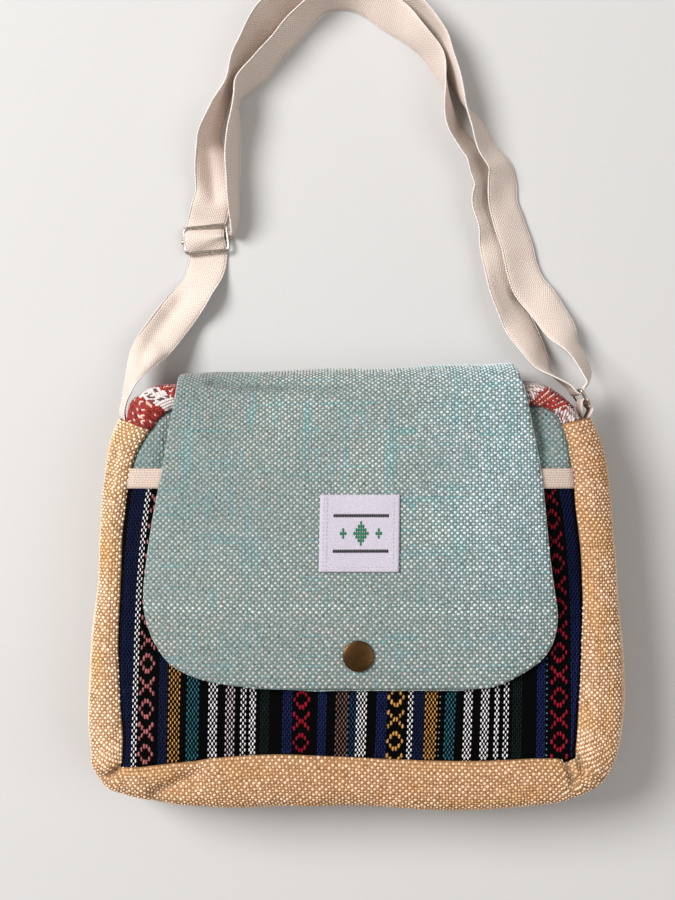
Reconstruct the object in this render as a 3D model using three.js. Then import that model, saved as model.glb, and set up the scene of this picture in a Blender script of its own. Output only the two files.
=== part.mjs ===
// Hemp messenger bag, lying on its back with its mouth and shoulder strap towards +Y.
// Millimetres, +Z up. The origin is the middle of the back panel's outer face.

import * as THREE from 'three';

// Wall thicknesses and the gap kept between neighbouring pieces
const HEMP = 1.8;
const COTTON = 1.4;
const TAPE = 1.6;
const FLAP_WALL = 2.2;
const BACK_WALL = 2.0;
const GAP = 0.35;
const SKIN_GAP = 0.75;

// Front of the bag: height of its rim at the bottom and at the mouth, and the crown of the dome
const RIM_BOTTOM = 55;
const RIM_MOUTH = 47;
const DOME = 11;
const FRONT_MIDDLE = { x: -4, y: 3 };
const FRONT_HALF = { x: 127, y: 100 };

// Seams: how far each wall stops short of a seam line, and the rolled edge beside it
const SEAM_STEP = 1.0;
const ROLL = 3.5;
const BACK_TUCK = 9;
const BACK_EDGE_Z = 1.9;
const BAND_END_STEP = 0.05;

// Pocket: levels of its top edge and of the tape along it
const POCKET_TOP = 55.2;
const TAPE_BOTTOM = 55.7;
const TAPE_TOP = 66.7;

// Mouth slot in the top band, as shares of its length and of its width
const MOUTH = { from: 0.33, to: 0.58, front: 0.42, back: 0.66 };

// Flap: lift above the front, lean of its fold line, snap and label places
const FLAP_LIFT = 5.3;
const FOLD_LEAN = 0.015;
const SNAP = { x: 0.3, y: -33.8, radius: 8.4, height: 2.2, stud_radius: 5.5, stud_height: 0.55 };
const LABEL = { x: 0.9, y: 31.9, width: 43, height: 41.5, wall: 0.8 };

// Shoulder strap and its metal
const STRAP = { width: 22, wall: 1.5, step: 7 };
const WIRE = 1.0;
const SLIDER = { x: -88.2, y: 200.9, z: 4.3, width: 25.4, height: 15, corner: 2.6, turn: 6 };
const SLIDER_BAR = { length: 28.6, drop: 2.6, radius: 0.9, knob: 1.5 };
const RING = { x: 126.85, y: 106.95, z: 31, width: 7.75, height: 27, corner: 1.6, turn: -59.8 };
const WRAP = WIRE + STRAP.wall / 2 + GAP;
const TAB = { width: 18, reach: 2.4, spread_left: 1.4, spread_right: 2.8, heading: 61.9 };

// Sections around the bag: seam is the front seam, edge the outermost line of the wall.
// They run down the left side, along the bottom, up the right side and back along the top.
const SECTIONS = [
  { seam: [-114.6, 88.3], edge: [-137.5, 93] },
  { seam: [-122.5, 74], edge: [-141.4, 80] },
  { seam: [-127, 57], edge: [-143.7, 60] },
  { seam: [-129, 34], edge: [-146, 33] },
  { seam: [-130, 3], edge: [-147.8, 3] },
  { seam: [-131.3, -27], edge: [-151, -27] },
  { seam: [-130.8, -55], edge: [-153.3, -56] },
  { seam: [-129.3, -80], edge: [-152.8, -83.5] },
  { seam: [-130, -91], edge: [-149.5, -103] },
  { seam: [-129, -96], edge: [-141, -114] },
  { seam: [-122, -97], edge: [-126, -121] },
  { seam: [-105, -95.9], edge: [-105, -125.3] },
  { seam: [-75, -92.8], edge: [-72, -127] },
  { seam: [-44.7, -90.9], edge: [-40, -126] },
  { seam: [-9.5, -92.3], edge: [-9.5, -125] },
  { seam: [49.3, -94.5], edge: [50, -128] },
  { seam: [90, -93.8], edge: [93, -126.5] },
  { seam: [111, -93.5], edge: [117, -123.5] },
  { seam: [118, -93.5], edge: [139, -115] },
  { seam: [119.5, -87], edge: [147.5, -103] },
  { seam: [121, -70], edge: [153, -75] },
  { seam: [122.8, -48], edge: [152.8, -48] },
  { seam: [124.1, -14], edge: [150, -16] },
  { seam: [123.2, 17], edge: [148.6, 18] },
  { seam: [120.6, 44], edge: [146, 44] },
  { seam: [119, 66], edge: [142.6, 69] },
  { seam: [116.5, 83], edge: [137.5, 87] },
  { seam: [113.5, 91.5], edge: [133, 95.5] },
  { seam: [110.5, 97], edge: [126.5, 99.5] },
  { seam: [104, 100.5], edge: [119, 107] },
  { seam: [92, 102.5], edge: [104.5, 114.5] },
  { seam: [60, 103.5], edge: [64, 117] },
  { seam: [-5, 104], edge: [-5, 117] },
  { seam: [-70, 103.5], edge: [-76, 116] },
  { seam: [-92, 102.5], edge: [-102, 114.5] },
  { seam: [-104, 99.5], edge: [-116, 111.5] },
  { seam: [-110.5, 94.5], edge: [-126.5, 104.5] },
  { seam: [-113, 91], edge: [-131.5, 98.5] },
];
const CORNERS = { top_left: 0, bottom_left: 9, bottom_right: 18, top_right: 27 };

// Flap rows from the sewn edge behind the mouth, round the fold and down the front.
// Rows with a height stand clear of the top band, the others ride on the front.
const FLAP_ROWS = [
  { y: 112.5, z: 1.9, left: -99, right: 88 },
  { y: 118.8, z: 6.5, left: -99.3, right: 88.3 },
  { y: 121.6, z: 16, left: -99.5, right: 88.5 },
  { y: 122.2, z: 28, left: -99.6, right: 88.8 },
  { y: 120.5, z: 40, left: -99.6, right: 89.4 },
  { y: 115.5, z: 49.5, left: -99.8, right: 90.2 },
  { y: 107, z: 54.6, left: -100.3, right: 91.6 },
  { y: 88, left: -102, right: 95 },
  { y: 72, left: -105, right: 98 },
  { y: 55, left: -108, right: 100 },
  { y: 38, left: -112, right: 102.2 },
  { y: 18, left: -115.3, right: 104.3 },
  { y: 0, left: -116.5, right: 106.6 },
  { y: -13, left: -115.3, right: 108.4 },
  { y: -24, left: -111.3, right: 107.3 },
  { y: -34, left: -104.8, right: 102 },
  { y: -42, left: -95.5, right: 93 },
  { y: -48, left: -82, right: 83.5 },
  { y: -52, left: -62, right: 74.5 },
  { y: -54.3, left: -42, right: 64 },
];

// Strap rows: middle of the webbing, its lean about its own run (0 flat, -90 on edge with its
// left edge up) and the share of its width that shows where it is gathered.
const STRAP_OUT = [
  { x: -135.9, y: 98.2, z: 31, lean: 80, share: 1 },
  { x: -133.6, y: 106, z: 30, lean: 76, share: 1 },
  { x: -129.4, y: 119, z: 26, lean: 52, share: 1 },
  { x: -120.8, y: 133.4, z: 19, lean: 20, share: 1 },
  { x: -113.7, y: 143.8, z: 13, lean: 5, share: 1 },
  { x: -104.2, y: 157.8, z: 7, lean: 0, share: 1 },
  { x: -93.8, y: 171.2, z: 3.2, lean: 0, share: 1 },
  { x: -88.4, y: 184.5, z: 1.4, lean: 0, share: 1 },
  { x: -87.4, y: 193.4, z: 1.5, lean: 0, share: 1 },
  { x: -88.2, y: 200.9, z: 3.8, lean: 0, share: 1 },
  { x: -89, y: 208.4, z: 1.5, lean: 0, share: 1 },
  { x: -87.4, y: 217.5, z: 4.6, lean: -16, share: 1 },
  { x: -85, y: 229.2, z: 8, lean: -36, share: 1 },
  { x: -84.8, y: 247.3, z: 8.9, lean: -47, share: 1 },
  { x: -85.4, y: 260.2, z: 9.9, lean: -56, share: 1 },
  { x: -80.5, y: 274.1, z: 11.2, lean: -72, share: 1 },
  { x: -76.2, y: 285.4, z: 11.5, lean: -80, share: 1 },
  { x: -72.8, y: 293.8, z: 11.5, lean: -80, share: 1 },
  { x: -66.4, y: 307.2, z: 11.1, lean: -70, share: 1 },
  { x: -58.8, y: 321.4, z: 10.4, lean: -60, share: 1 },
  { x: -49.6, y: 333.4, z: 9.6, lean: -54, share: 1 },
  { x: -36.6, y: 345.2, z: 9.5, lean: -54, share: 1 },
  { x: -20.8, y: 352.4, z: 10.5, lean: -60, share: 1 },
  { x: -3.6, y: 354.6, z: 11, lean: -66, share: 1 },
  { x: 13.4, y: 351.4, z: 11.2, lean: -70, share: 1 },
  { x: 24.6, y: 345, z: 11.3, lean: -73, share: 1 },
  { x: 33, y: 337.4, z: 11.2, lean: -73, share: 1 },
  { x: 41.5, y: 328.4, z: 11.2, lean: -72, share: 1 },
  { x: 49.4, y: 317.6, z: 11.4, lean: -76, share: 1 },
  { x: 52, y: 307.8, z: 11.4, lean: -78, share: 1 },
  { x: 56.2, y: 296.5, z: 11.5, lean: -80, share: 1 },
  { x: 61.6, y: 283.7, z: 11.6, lean: -90, share: 1 },
  { x: 67.4, y: 273, z: 10.9, lean: -112, share: 1 },
  { x: 71.6, y: 263.5, z: 10.4, lean: -120, share: 1 },
  { x: 77, y: 253.2, z: 9.8, lean: -126, share: 1 },
  { x: 84, y: 243, z: 8.4, lean: -137, share: 1 },
  { x: 85.6, y: 234, z: 7.3, lean: -145, share: 1 },
  { x: 86.2, y: 222.2, z: 7.2, lean: -146, share: 1 },
  { x: 89.4, y: 210.5, z: 6.8, lean: -149, share: 1 },
  { x: 94, y: 196.5, z: 6.6, lean: -152, share: 1 },
  { x: 98, y: 181.6, z: 7.2, lean: -152, share: 1 },
  { x: 101.8, y: 172.8, z: 7.4, lean: -162, share: 1 },
  { x: 108.2, y: 164.4, z: 8.4, lean: -164, share: 1 },
  { x: 113.6, y: 155.7, z: 10.6, lean: -160, share: 1 },
  { x: 118.4, y: 147.1, z: 15, lean: -148, share: 1 },
  { x: 123.6, y: 137.2, z: 22, lean: -126, share: 1 },
  { x: 127.6, y: 128.5, z: 26.8, lean: -112, share: 1 },
  { x: 129.6, y: 120, z: 29.8, lean: -100, share: 1 },
  { x: 129, y: 114.8, z: 31, lean: -91, share: 1 },
];
const STRAP_BACK = [
  { x: 120.7, y: 112.7, z: 30.6, lean: -88, share: 1 },
  { x: 112.8, y: 119, z: 27, lean: -82, share: 1 },
  { x: 107, y: 127, z: 19.8, lean: -61, share: 1 },
  { x: 101.7, y: 138, z: 12.6, lean: -42, share: 1 },
  { x: 94.8, y: 151.3, z: 7.8, lean: -34, share: 1 },
  { x: 87, y: 166, z: 7.6, lean: -38, share: 1 },
  { x: 84, y: 183, z: 7.4, lean: -37, share: 1 },
  { x: 81, y: 198, z: 7.3, lean: -36, share: 1 },
  { x: 79.2, y: 209.1, z: 7.6, lean: -39, share: 1 },
  { x: 76, y: 221.7, z: 7.6, lean: -38, share: 1 },
  { x: 77, y: 231.6, z: 7.9, lean: -40, share: 1 },
  { x: 74, y: 240.7, z: 8, lean: -41, share: 1 },
  { x: 70.4, y: 249, z: 8.9, lean: -48, share: 1 },
  { x: 64.4, y: 255.8, z: 9.7, lean: -54, share: 1 },
  { x: 57.2, y: 265.4, z: 10.3, lean: -62, share: 1 },
  { x: 54.2, y: 277.6, z: 11, lean: -72, share: 1 },
  { x: 51.4, y: 288.9, z: 11.5, lean: -88, share: 1 },
  { x: 46.8, y: 302.4, z: 11.2, lean: -106, share: 1 },
  { x: 40, y: 313.8, z: 10.8, lean: -115, share: 1 },
  { x: 31, y: 322.6, z: 10, lean: -124, share: 1 },
  { x: 20, y: 332, z: 8.4, lean: -138, share: 1 },
  { x: 7, y: 338.8, z: 9, lean: -132, share: 1 },
  { x: -6, y: 341, z: 10.3, lean: -120, share: 1 },
  { x: -18.6, y: 338.2, z: 11, lean: -112, share: 1 },
  { x: -27.8, y: 331.8, z: 11.1, lean: -110, share: 1 },
  { x: -35, y: 324, z: 10.5, lean: -116, share: 1 },
  { x: -46, y: 312, z: 10.7, lean: -116, share: 1 },
  { x: -57, y: 300, z: 10.6, lean: -116, share: 1 },
  { x: -66, y: 289.6, z: 10.9, lean: -110, share: 1 },
  { x: -70, y: 281.6, z: 11.5, lean: -92, share: 1 },
  { x: -70.4, y: 270.1, z: 11.1, lean: -74, share: 1 },
  { x: -69.8, y: 252, z: 11, lean: -71, share: 1 },
  { x: -69.4, y: 231.5, z: 11, lean: -71, share: 1 },
  { x: -69.4, y: 217, z: 10.4, lean: -74, share: 0.92 },
  { x: -70.6, y: 208.6, z: 7.4, lean: -82, share: 0.62 },
  { x: -71.6, y: 202.6, z: 5.4, lean: -88, share: 0.4 },
];

// Plain colours of the finishes
const TEAL = 0x9db8ac;
const TAN = 0xcba263;
const STRIPES = 0x1c1f33;
const BROCADE = 0xa8402e;
const CREAM = 0xe3d3c0;
const WHITE = 0xe8e2e6;
const BRASS = 0x7a5a34;
const NICKEL = 0xb9b4ae;

function finish(color, roughness, metalness) {
  return new THREE.MeshStandardMaterial({ color, roughness, metalness });
}

// Height of the front panel's middle surface over the floor
function frontHeight(x, y) {
  const across = Math.min(1, Math.abs(x - FRONT_MIDDLE.x) / FRONT_HALF.x);
  const along = Math.min(1, Math.abs(y - FRONT_MIDDLE.y) / FRONT_HALF.y);
  const up = (y - FRONT_MIDDLE.y + FRONT_HALF.y) / (2 * FRONT_HALF.y);
  const rim = THREE.MathUtils.lerp(RIM_BOTTOM, RIM_MOUTH, THREE.MathUtils.clamp(up, 0, 1));
  return rim + DOME * (1 - across ** 3) * (1 - along ** 3);
}

// Smooth value of one column of a table at a fractional row
function column(rows, name, row) {
  const at = THREE.MathUtils.clamp(Math.floor(row), 0, rows.length - 2);
  const share = row - at;
  const value = (i) => rows[THREE.MathUtils.clamp(i, 0, rows.length - 1)][name];
  const [before, from, to, after] = [value(at - 1), value(at), value(at + 1), value(at + 2)];
  const slopeFrom = (to - before) / 2;
  const slopeTo = (after - from) / 2;
  const square = share * share;
  const cube = square * share;
  return from * (2 * cube - 3 * square + 1) + slopeFrom * (cube - 2 * square + share)
    + to * (3 * square - 2 * cube) + slopeTo * (cube - square);
}

// Closed body from a list of points and triangles, turned so that its faces point out
function body(points, triangles) {
  let volume = 0;
  for (const [a, b, c] of triangles) {
    volume += points[a].dot(new THREE.Vector3().crossVectors(points[b], points[c]));
  }
  const index = triangles.flatMap(([a, b, c]) => (volume < 0 ? [a, c, b] : [a, b, c]));
  const geometry = new THREE.BufferGeometry().setFromPoints(points);
  geometry.setIndex(index);
  geometry.computeVertexNormals();
  return geometry;
}

// Wall of even thickness about the surface place(u, v), with an open slot where open(i, j) holds
function wall(place, stepsU, stepsV, thickness, open = () => false) {
  const middle = [];
  for (let i = 0; i <= stepsU; i += 1) {
    middle.push([]);
    for (let j = 0; j <= stepsV; j += 1) middle[i].push(place(i / stepsU, j / stepsV));
  }
  const normal = (i, j) => {
    const alongU = new THREE.Vector3().subVectors(
      middle[Math.min(i + 1, stepsU)][j], middle[Math.max(i - 1, 0)][j]);
    const alongV = new THREE.Vector3().subVectors(
      middle[i][Math.min(j + 1, stepsV)], middle[i][Math.max(j - 1, 0)]);
    return alongU.cross(alongV).normalize();
  };
  const points = [];
  const ids = new Map();
  const corner = (i, j, side) => {
    const key = `${i},${j},${side}`;
    if (!ids.has(key)) {
      ids.set(key, points.length);
      points.push(middle[i][j].clone().addScaledVector(normal(i, j), side * thickness / 2));
    }
    return ids.get(key);
  };
  const solid = (i, j) => i >= 0 && j >= 0 && i < stepsU && j < stepsV && !open(i, j);
  const triangles = [];
  const quad = (a, b, c, d) => triangles.push([a, b, c], [a, c, d]);
  for (let i = 0; i < stepsU; i += 1) {
    for (let j = 0; j < stepsV; j += 1) {
      if (!solid(i, j)) continue;
      const ring = [[i, j], [i + 1, j], [i + 1, j + 1], [i, j + 1]];
      const beyond = [[i, j - 1], [i + 1, j], [i, j + 1], [i - 1, j]];
      quad(...ring.map(([a, b]) => corner(a, b, 1)));
      quad(...ring.map(([a, b]) => corner(a, b, -1)).reverse());
      beyond.forEach(([a, b], k) => {
        if (solid(a, b)) return;
        const from = ring[k];
        const to = ring[(k + 1) % 4];
        quad(corner(...from, 1), corner(...from, -1), corner(...to, -1), corner(...to, 1));
      });
    }
  }
  return body(points, triangles);
}

// Closed curves through the sections, read by a fractional section number
const seamLine = new THREE.CatmullRomCurve3(
  SECTIONS.map(({ seam }) => new THREE.Vector3(...seam, 0)), true, 'centripetal');
const edgeLine = new THREE.CatmullRomCurve3(
  SECTIONS.map(({ edge }) => new THREE.Vector3(...edge, 0)), true, 'centripetal');

function lineAt(line, row) {
  const count = SECTIONS.length;
  return line.getPoint((((row % count) + count) % count) / count);
}

// Bulge of the side wall between its two seams: share of its reach, share of the rim's height
const BULGE = [
  { out: 0.8, up: 0.84 },
  { out: 1, up: 0.52 },
  { out: 0.93, up: 0.2 },
];
const ROLL_OUT = 0.3;

// Point on the bag's side wall: row goes round the bag, across goes from the front seam to the back
function sidePoint(row, across) {
  const seam = lineAt(seamLine, row);
  const edge = lineAt(edgeLine, row);
  const out = new THREE.Vector3().subVectors(edge, seam);
  const reach = out.length();
  out.normalize();
  const top = frontHeight(seam.x, seam.y);
  const profile = new THREE.CatmullRomCurve3([
    new THREE.Vector3(SEAM_STEP, 0, top),
    new THREE.Vector3(ROLL_OUT * reach, 0, top + ROLL),
    ...BULGE.map(({ out: share, up }) => new THREE.Vector3(share * reach, 0, up * top)),
    new THREE.Vector3(reach - BACK_TUCK, 0, BACK_EDGE_Z),
  ], false, 'centripetal').getPoint(across);
  return new THREE.Vector3(seam.x + out.x * profile.x, seam.y + out.y * profile.x, profile.z);
}

// Row that lies a share of the way, by length, along the seam between two rows
function rowAlong(from, to, share) {
  const steps = 60;
  const lengths = [0];
  for (let i = 1; i <= steps; i += 1) {
    const a = lineAt(seamLine, from + ((to - from) * (i - 1)) / steps);
    const b = lineAt(seamLine, from + ((to - from) * i) / steps);
    lengths.push(lengths[i - 1] + a.distanceTo(b));
  }
  const target = share * lengths[steps];
  let at = 0;
  while (at < steps - 1 && lengths[at + 1] < target) at += 1;
  const rest = (target - lengths[at]) / (lengths[at + 1] - lengths[at]);
  return from + ((to - from) * (at + rest)) / steps;
}

// Point of the front's outline, moved in from the seam by one step
function rimPoint(row) {
  const seam = lineAt(seamLine, row);
  const edge = lineAt(edgeLine, row);
  return seam.clone().addScaledVector(seam.clone().sub(edge).normalize(), SEAM_STEP);
}

// Front surface between its four seams: u from left to right, v from bottom to mouth
function frontPoint(u, v, lift) {
  const { top_left, bottom_left, bottom_right, top_right } = CORNERS;
  const left = (share) => rimPoint(rowAlong(bottom_left, top_left, share));
  const right = (share) => rimPoint(rowAlong(bottom_right, top_right, share));
  const bottom = (share) => rimPoint(rowAlong(bottom_left, bottom_right, share));
  const top = (share) => rimPoint(rowAlong(SECTIONS.length, top_right, share));
  const point = new THREE.Vector3();
  point.addScaledVector(left(v), 1 - u).addScaledVector(right(v), u);
  point.addScaledVector(bottom(u), 1 - v).addScaledVector(top(u), v);
  point.addScaledVector(left(0), -(1 - u) * (1 - v)).addScaledVector(right(0), -u * (1 - v));
  point.addScaledVector(left(1), -(1 - u) * v).addScaledVector(right(1), -u * v);
  point.z = frontHeight(point.x, point.y) + lift;
  return point;
}

// Share of the front's height at which its surface reaches a level
function shareAt(u, level) {
  let low = 0;
  let high = 1;
  for (let halving = 0; halving < 16; halving += 1) {
    const middle = (low + high) / 2;
    if (frontPoint(u, middle, 0).y < level) low = middle;
    else high = middle;
  }
  return (low + high) / 2;
}

// Flap surface: u from its left to its right edge, v from the sewn edge to the free edge
const flapRows = FLAP_ROWS.map((row) => {
  const rides = row.z === undefined ? 1 : 0;
  const middle = (row.left + row.right) / 2;
  return { ...row, rides, z: rides ? frontHeight(middle, row.y) + FLAP_LIFT : row.z };
});

function flapPoint(u, v) {
  const row = v * (flapRows.length - 1);
  const left = column(flapRows, 'left', row);
  const right = column(flapRows, 'right', row);
  const rides = THREE.MathUtils.clamp(column(flapRows, 'rides', row), 0, 1);
  const x = THREE.MathUtils.lerp(left, right, u);
  const y = column(flapRows, 'y', row);
  const fall = frontHeight(x, y) - frontHeight((left + right) / 2, y);
  return new THREE.Vector3(x, y + FOLD_LEAN * x * (1 - rides), column(flapRows, 'z', row) + fall * rides);
}

// Place and upward direction on the flap's upper face above a point of the front
function onFlap(x, y, lift) {
  const reach = 4;
  const slopeX = (frontHeight(x + reach, y) - frontHeight(x - reach, y)) / (2 * reach);
  const slopeY = (frontHeight(x, y + reach) - frontHeight(x, y - reach)) / (2 * reach);
  const up = new THREE.Vector3(-slopeX, -slopeY, 1).normalize();
  const place = new THREE.Vector3(x, y, frontHeight(x, y) + FLAP_LIFT).addScaledVector(up, lift);
  return { place, up };
}

// Round piece standing on the flap or under it
const DISC_SIDES = 32;
function disc(profile, lift) {
  const { place, up } = onFlap(SNAP.x, SNAP.y, lift);
  const points = profile.map(([radius, height]) => new THREE.Vector2(radius, height));
  const geometry = new THREE.LatheGeometry(points, DISC_SIDES);
  geometry.rotateX(Math.PI / 2);
  geometry.applyQuaternion(new THREE.Quaternion().setFromUnitVectors(new THREE.Vector3(0, 0, 1), up));
  geometry.translate(place.x, place.y, place.z);
  return geometry;
}

// Round wire bent to a closed rectangle with round corners, lying in the XY plane
function wireLoop(width, height, corner, wire) {
  const cornerSteps = 5;
  const sides = 8;
  const path = [];
  for (let quarter = 0; quarter < 4; quarter += 1) {
    const signX = quarter === 0 || quarter === 3 ? 1 : -1;
    const signY = quarter < 2 ? 1 : -1;
    for (let k = 0; k <= cornerSteps; k += 1) {
      const angle = (Math.PI / 2) * (quarter + k / cornerSteps);
      const x = signX * (width / 2 - corner) + corner * Math.cos(angle);
      const y = signY * (height / 2 - corner) + corner * Math.sin(angle);
      path.push({ x, y, out: new THREE.Vector3(Math.cos(angle), Math.sin(angle), 0) });
    }
  }
  const points = [];
  const triangles = [];
  const at = (i, j) => (i % path.length) * sides + (j % sides);
  path.forEach(({ x, y, out }, i) => {
    for (let j = 0; j < sides; j += 1) {
      const angle = (2 * Math.PI * j) / sides;
      const point = new THREE.Vector3(x, y, wire * Math.sin(angle));
      points.push(point.addScaledVector(out, wire * Math.cos(angle)));
      triangles.push([at(i, j), at(i + 1, j), at(i + 1, j + 1)]);
      triangles.push([at(i, j), at(i + 1, j + 1), at(i, j + 1)]);
    }
  });
  return body(points, triangles);
}

// Webbing along a table of rows, with more steps where its run bends or is long
function webbing(rows, width, thickness) {
  const run = new THREE.CatmullRomCurve3(
    rows.map(({ x, y, z }) => new THREE.Vector3(x, y, z)), false, 'centripetal');
  const places = [];
  for (let i = 0; i < rows.length - 1; i += 1) {
    const from = new THREE.Vector3(rows[i].x, rows[i].y, rows[i].z);
    const to = new THREE.Vector3(rows[i + 1].x, rows[i + 1].y, rows[i + 1].z);
    const steps = Math.max(1, Math.round(from.distanceTo(to) / STRAP.step));
    for (let k = 0; k < steps; k += 1) places.push(i + k / steps);
  }
  places.push(rows.length - 1);
  const last = rows.length - 1;
  return wall((u, v) => {
    const row = places[Math.round(u * (places.length - 1))];
    const heading = run.getTangent(row / last);
    heading.z = 0;
    heading.normalize();
    const lean = THREE.MathUtils.degToRad(column(rows, 'lean', row));
    const across = new THREE.Vector3(heading.y, -heading.x, 0).multiplyScalar(Math.cos(lean));
    across.z = Math.sin(lean);
    const half = column(rows, 'share', row) * width * (v - 0.5);
    return run.getPoint(row / last).addScaledVector(across, half);
  }, places.length - 1, 1, thickness);
}

// Rows that carry webbing on edge half way round an upright bar
function wrapRows(bar, start, turn, count) {
  const rows = [];
  for (let k = 0; k <= count; k += 1) {
    const angle = start + (turn * k) / count;
    const x = bar.x + WRAP * Math.cos(angle);
    const y = bar.y + WRAP * Math.sin(angle);
    rows.push({ x, y, z: RING.z, lean: -90, share: 1 });
  }
  return rows;
}

const bag = new THREE.Group();

function add(name, geometry, material) {
  const mesh = new THREE.Mesh(geometry, material);
  mesh.name = name;
  bag.add(mesh);
  return mesh;
}

const teal = finish(TEAL, 0.9, 0);
const tan = finish(TAN, 0.9, 0);
const cream = finish(CREAM, 0.85, 0);
const nickel = finish(NICKEL, 0.3, 1);

// Back panel: flat, inside the back seam
const backShape = new THREE.Shape();
const BACK_POINTS = 96;
for (let i = 0; i < BACK_POINTS; i += 1) {
  const row = (i * SECTIONS.length) / BACK_POINTS;
  const edge = lineAt(edgeLine, row);
  const inward = lineAt(seamLine, row).sub(edge).normalize();
  edge.addScaledVector(inward, BACK_TUCK + SEAM_STEP);
  if (i === 0) backShape.moveTo(edge.x, edge.y);
  else backShape.lineTo(edge.x, edge.y);
}
add('back_panel', new THREE.ExtrudeGeometry(backShape, { depth: BACK_WALL, bevelEnabled: false }), teal);

// Gusset: left side, bottom and right side in one band
const gussetFrom = CORNERS.top_left + BAND_END_STEP;
const gussetTo = CORNERS.top_right - BAND_END_STEP;
add('gusset', wall((u, v) => sidePoint(THREE.MathUtils.lerp(gussetFrom, gussetTo, u), v), 54, 8, HEMP), tan);

// Top band with the mouth slot
const BAND_STEPS = { along: 24, across: 12 };
const bandFrom = CORNERS.top_right + BAND_END_STEP;
const bandTo = SECTIONS.length - BAND_END_STEP;
const inMouth = (i, j) => {
  const along = (i + 0.5) / BAND_STEPS.along;
  const across = (j + 0.5) / BAND_STEPS.across;
  return along > MOUTH.from && along < MOUTH.to && across > MOUTH.front && across < MOUTH.back;
};
add('top_band', wall((u, v) => sidePoint(THREE.MathUtils.lerp(bandFrom, bandTo, u), v),
  BAND_STEPS.along, BAND_STEPS.across, HEMP, inMouth), finish(BROCADE, 0.9, 0));

// Front panel, and on it the pocket with its tape; both share the rows below the pocket's edge
const FRONT_STEPS = { across: 16, pocket: 10, above: 3 };
const frontRows = FRONT_STEPS.pocket + FRONT_STEPS.above;
add('front_panel', wall((u, v) => {
  const edge = shareAt(u, POCKET_TOP);
  const row = Math.round(v * frontRows);
  const above = Math.max(0, row - FRONT_STEPS.pocket) / FRONT_STEPS.above;
  const below = Math.min(1, row / FRONT_STEPS.pocket);
  return frontPoint(u, edge * below + (1 - edge) * above, 0);
}, FRONT_STEPS.across, frontRows, HEMP), teal);

const pocketLift = HEMP / 2 + SKIN_GAP + COTTON / 2;
add('pocket_panel', wall((u, v) => frontPoint(u, v * shareAt(u, POCKET_TOP), pocketLift),
  FRONT_STEPS.across, FRONT_STEPS.pocket, COTTON), finish(STRIPES, 0.9, 0));

const tapeLift = HEMP / 2 + SKIN_GAP + TAPE / 2;
add('pocket_tape', wall((u, v) => {
  const level = THREE.MathUtils.lerp(TAPE_BOTTOM, TAPE_TOP, v);
  return frontPoint(u, shareAt(u, level), tapeLift);
}, FRONT_STEPS.across, 1, TAPE), cream);

// Flap with its label and snap
add('flap', wall(flapPoint, 16, 38, FLAP_WALL), teal);

const labelLift = FLAP_LIFT + FLAP_WALL / 2 + GAP + LABEL.wall / 2;
add('label', wall((u, v) => {
  const x = LABEL.x + LABEL.width * (u - 0.5);
  const y = LABEL.y + LABEL.height * (v - 0.5);
  return new THREE.Vector3(x, y, frontHeight(x, y) + labelLift);
}, 4, 4, LABEL.wall), finish(WHITE, 0.6, 0));

const { radius, height } = SNAP;
const capProfile = [[0, 0], [radius - 0.5, 0], [radius, 0.5], [radius, 1.1], [radius - 1, 1.9], [0, height]];
add('snap_cap', disc(capProfile, FLAP_WALL / 2 + GAP), finish(BRASS, 0.4, 1));

const studProfile = [[0, 0], [SNAP.stud_radius, 0], [SNAP.stud_radius, SNAP.stud_height], [0, SNAP.stud_height]];
add('snap_stud', disc(studProfile, -FLAP_WALL / 2 - GAP - SNAP.stud_height), finish(BRASS, 0.4, 1));

// Ring: upright bars, one in the strap's turn and one in the tab's
const ringTurn = THREE.MathUtils.degToRad(RING.turn);
const ringSide = new THREE.Vector3(Math.cos(ringTurn), Math.sin(ringTurn), 0);
const ringMiddle = new THREE.Vector3(RING.x, RING.y, RING.z);
const strapBar = ringMiddle.clone().addScaledVector(ringSide, -RING.width / 2);
const tabBar = ringMiddle.clone().addScaledVector(ringSide, RING.width / 2);
const ring = add('strap_ring', wireLoop(RING.width, RING.height, RING.corner, WIRE), nickel);
ring.geometry.rotateX(Math.PI / 2);
ring.geometry.rotateZ(ringTurn);
ring.position.copy(ringMiddle);

// Strap: out from the left seam, through the slider, over to the ring and back to the slider
const strapTurn = wrapRows(strapBar, ringTurn + Math.PI / 2, -Math.PI, 4);
add('strap', webbing([...STRAP_OUT, ...strapTurn, ...STRAP_BACK], STRAP.width, STRAP.wall), cream);

// Tab: both ends in the corner seam, its fold round the ring's near bar
const tabHeading = THREE.MathUtils.degToRad(TAB.heading);
const tabOut = new THREE.Vector3(Math.cos(tabHeading), Math.sin(tabHeading), 0);
const tabSide = new THREE.Vector3(tabOut.y, -tabOut.x, 0);
const tabFoot = (spread) => tabBar.clone().addScaledVector(tabOut, -TAB.reach).addScaledVector(tabSide, spread);
const tabRow = ({ x, y }) => ({ x, y, z: RING.z, lean: -90, share: 1 });
const tabStart = Math.atan2(-tabSide.y, -tabSide.x);
const tabRows = [
  tabRow(tabFoot(-TAB.spread_left)),
  ...wrapRows(tabBar, tabStart, -Math.PI, 4),
  tabRow(tabFoot(TAB.spread_right)),
];
add('strap_tab', webbing(tabRows, TAB.width, STRAP.wall), cream);

// Slider: wire frame over the strap, bar under it
const sliderTurn = THREE.MathUtils.degToRad(SLIDER.turn);
const frame = add('slider_frame', wireLoop(SLIDER.width, SLIDER.height, SLIDER.corner, WIRE), nickel);
frame.rotation.z = sliderTurn;
frame.position.set(SLIDER.x, SLIDER.y, SLIDER.z);

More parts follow.
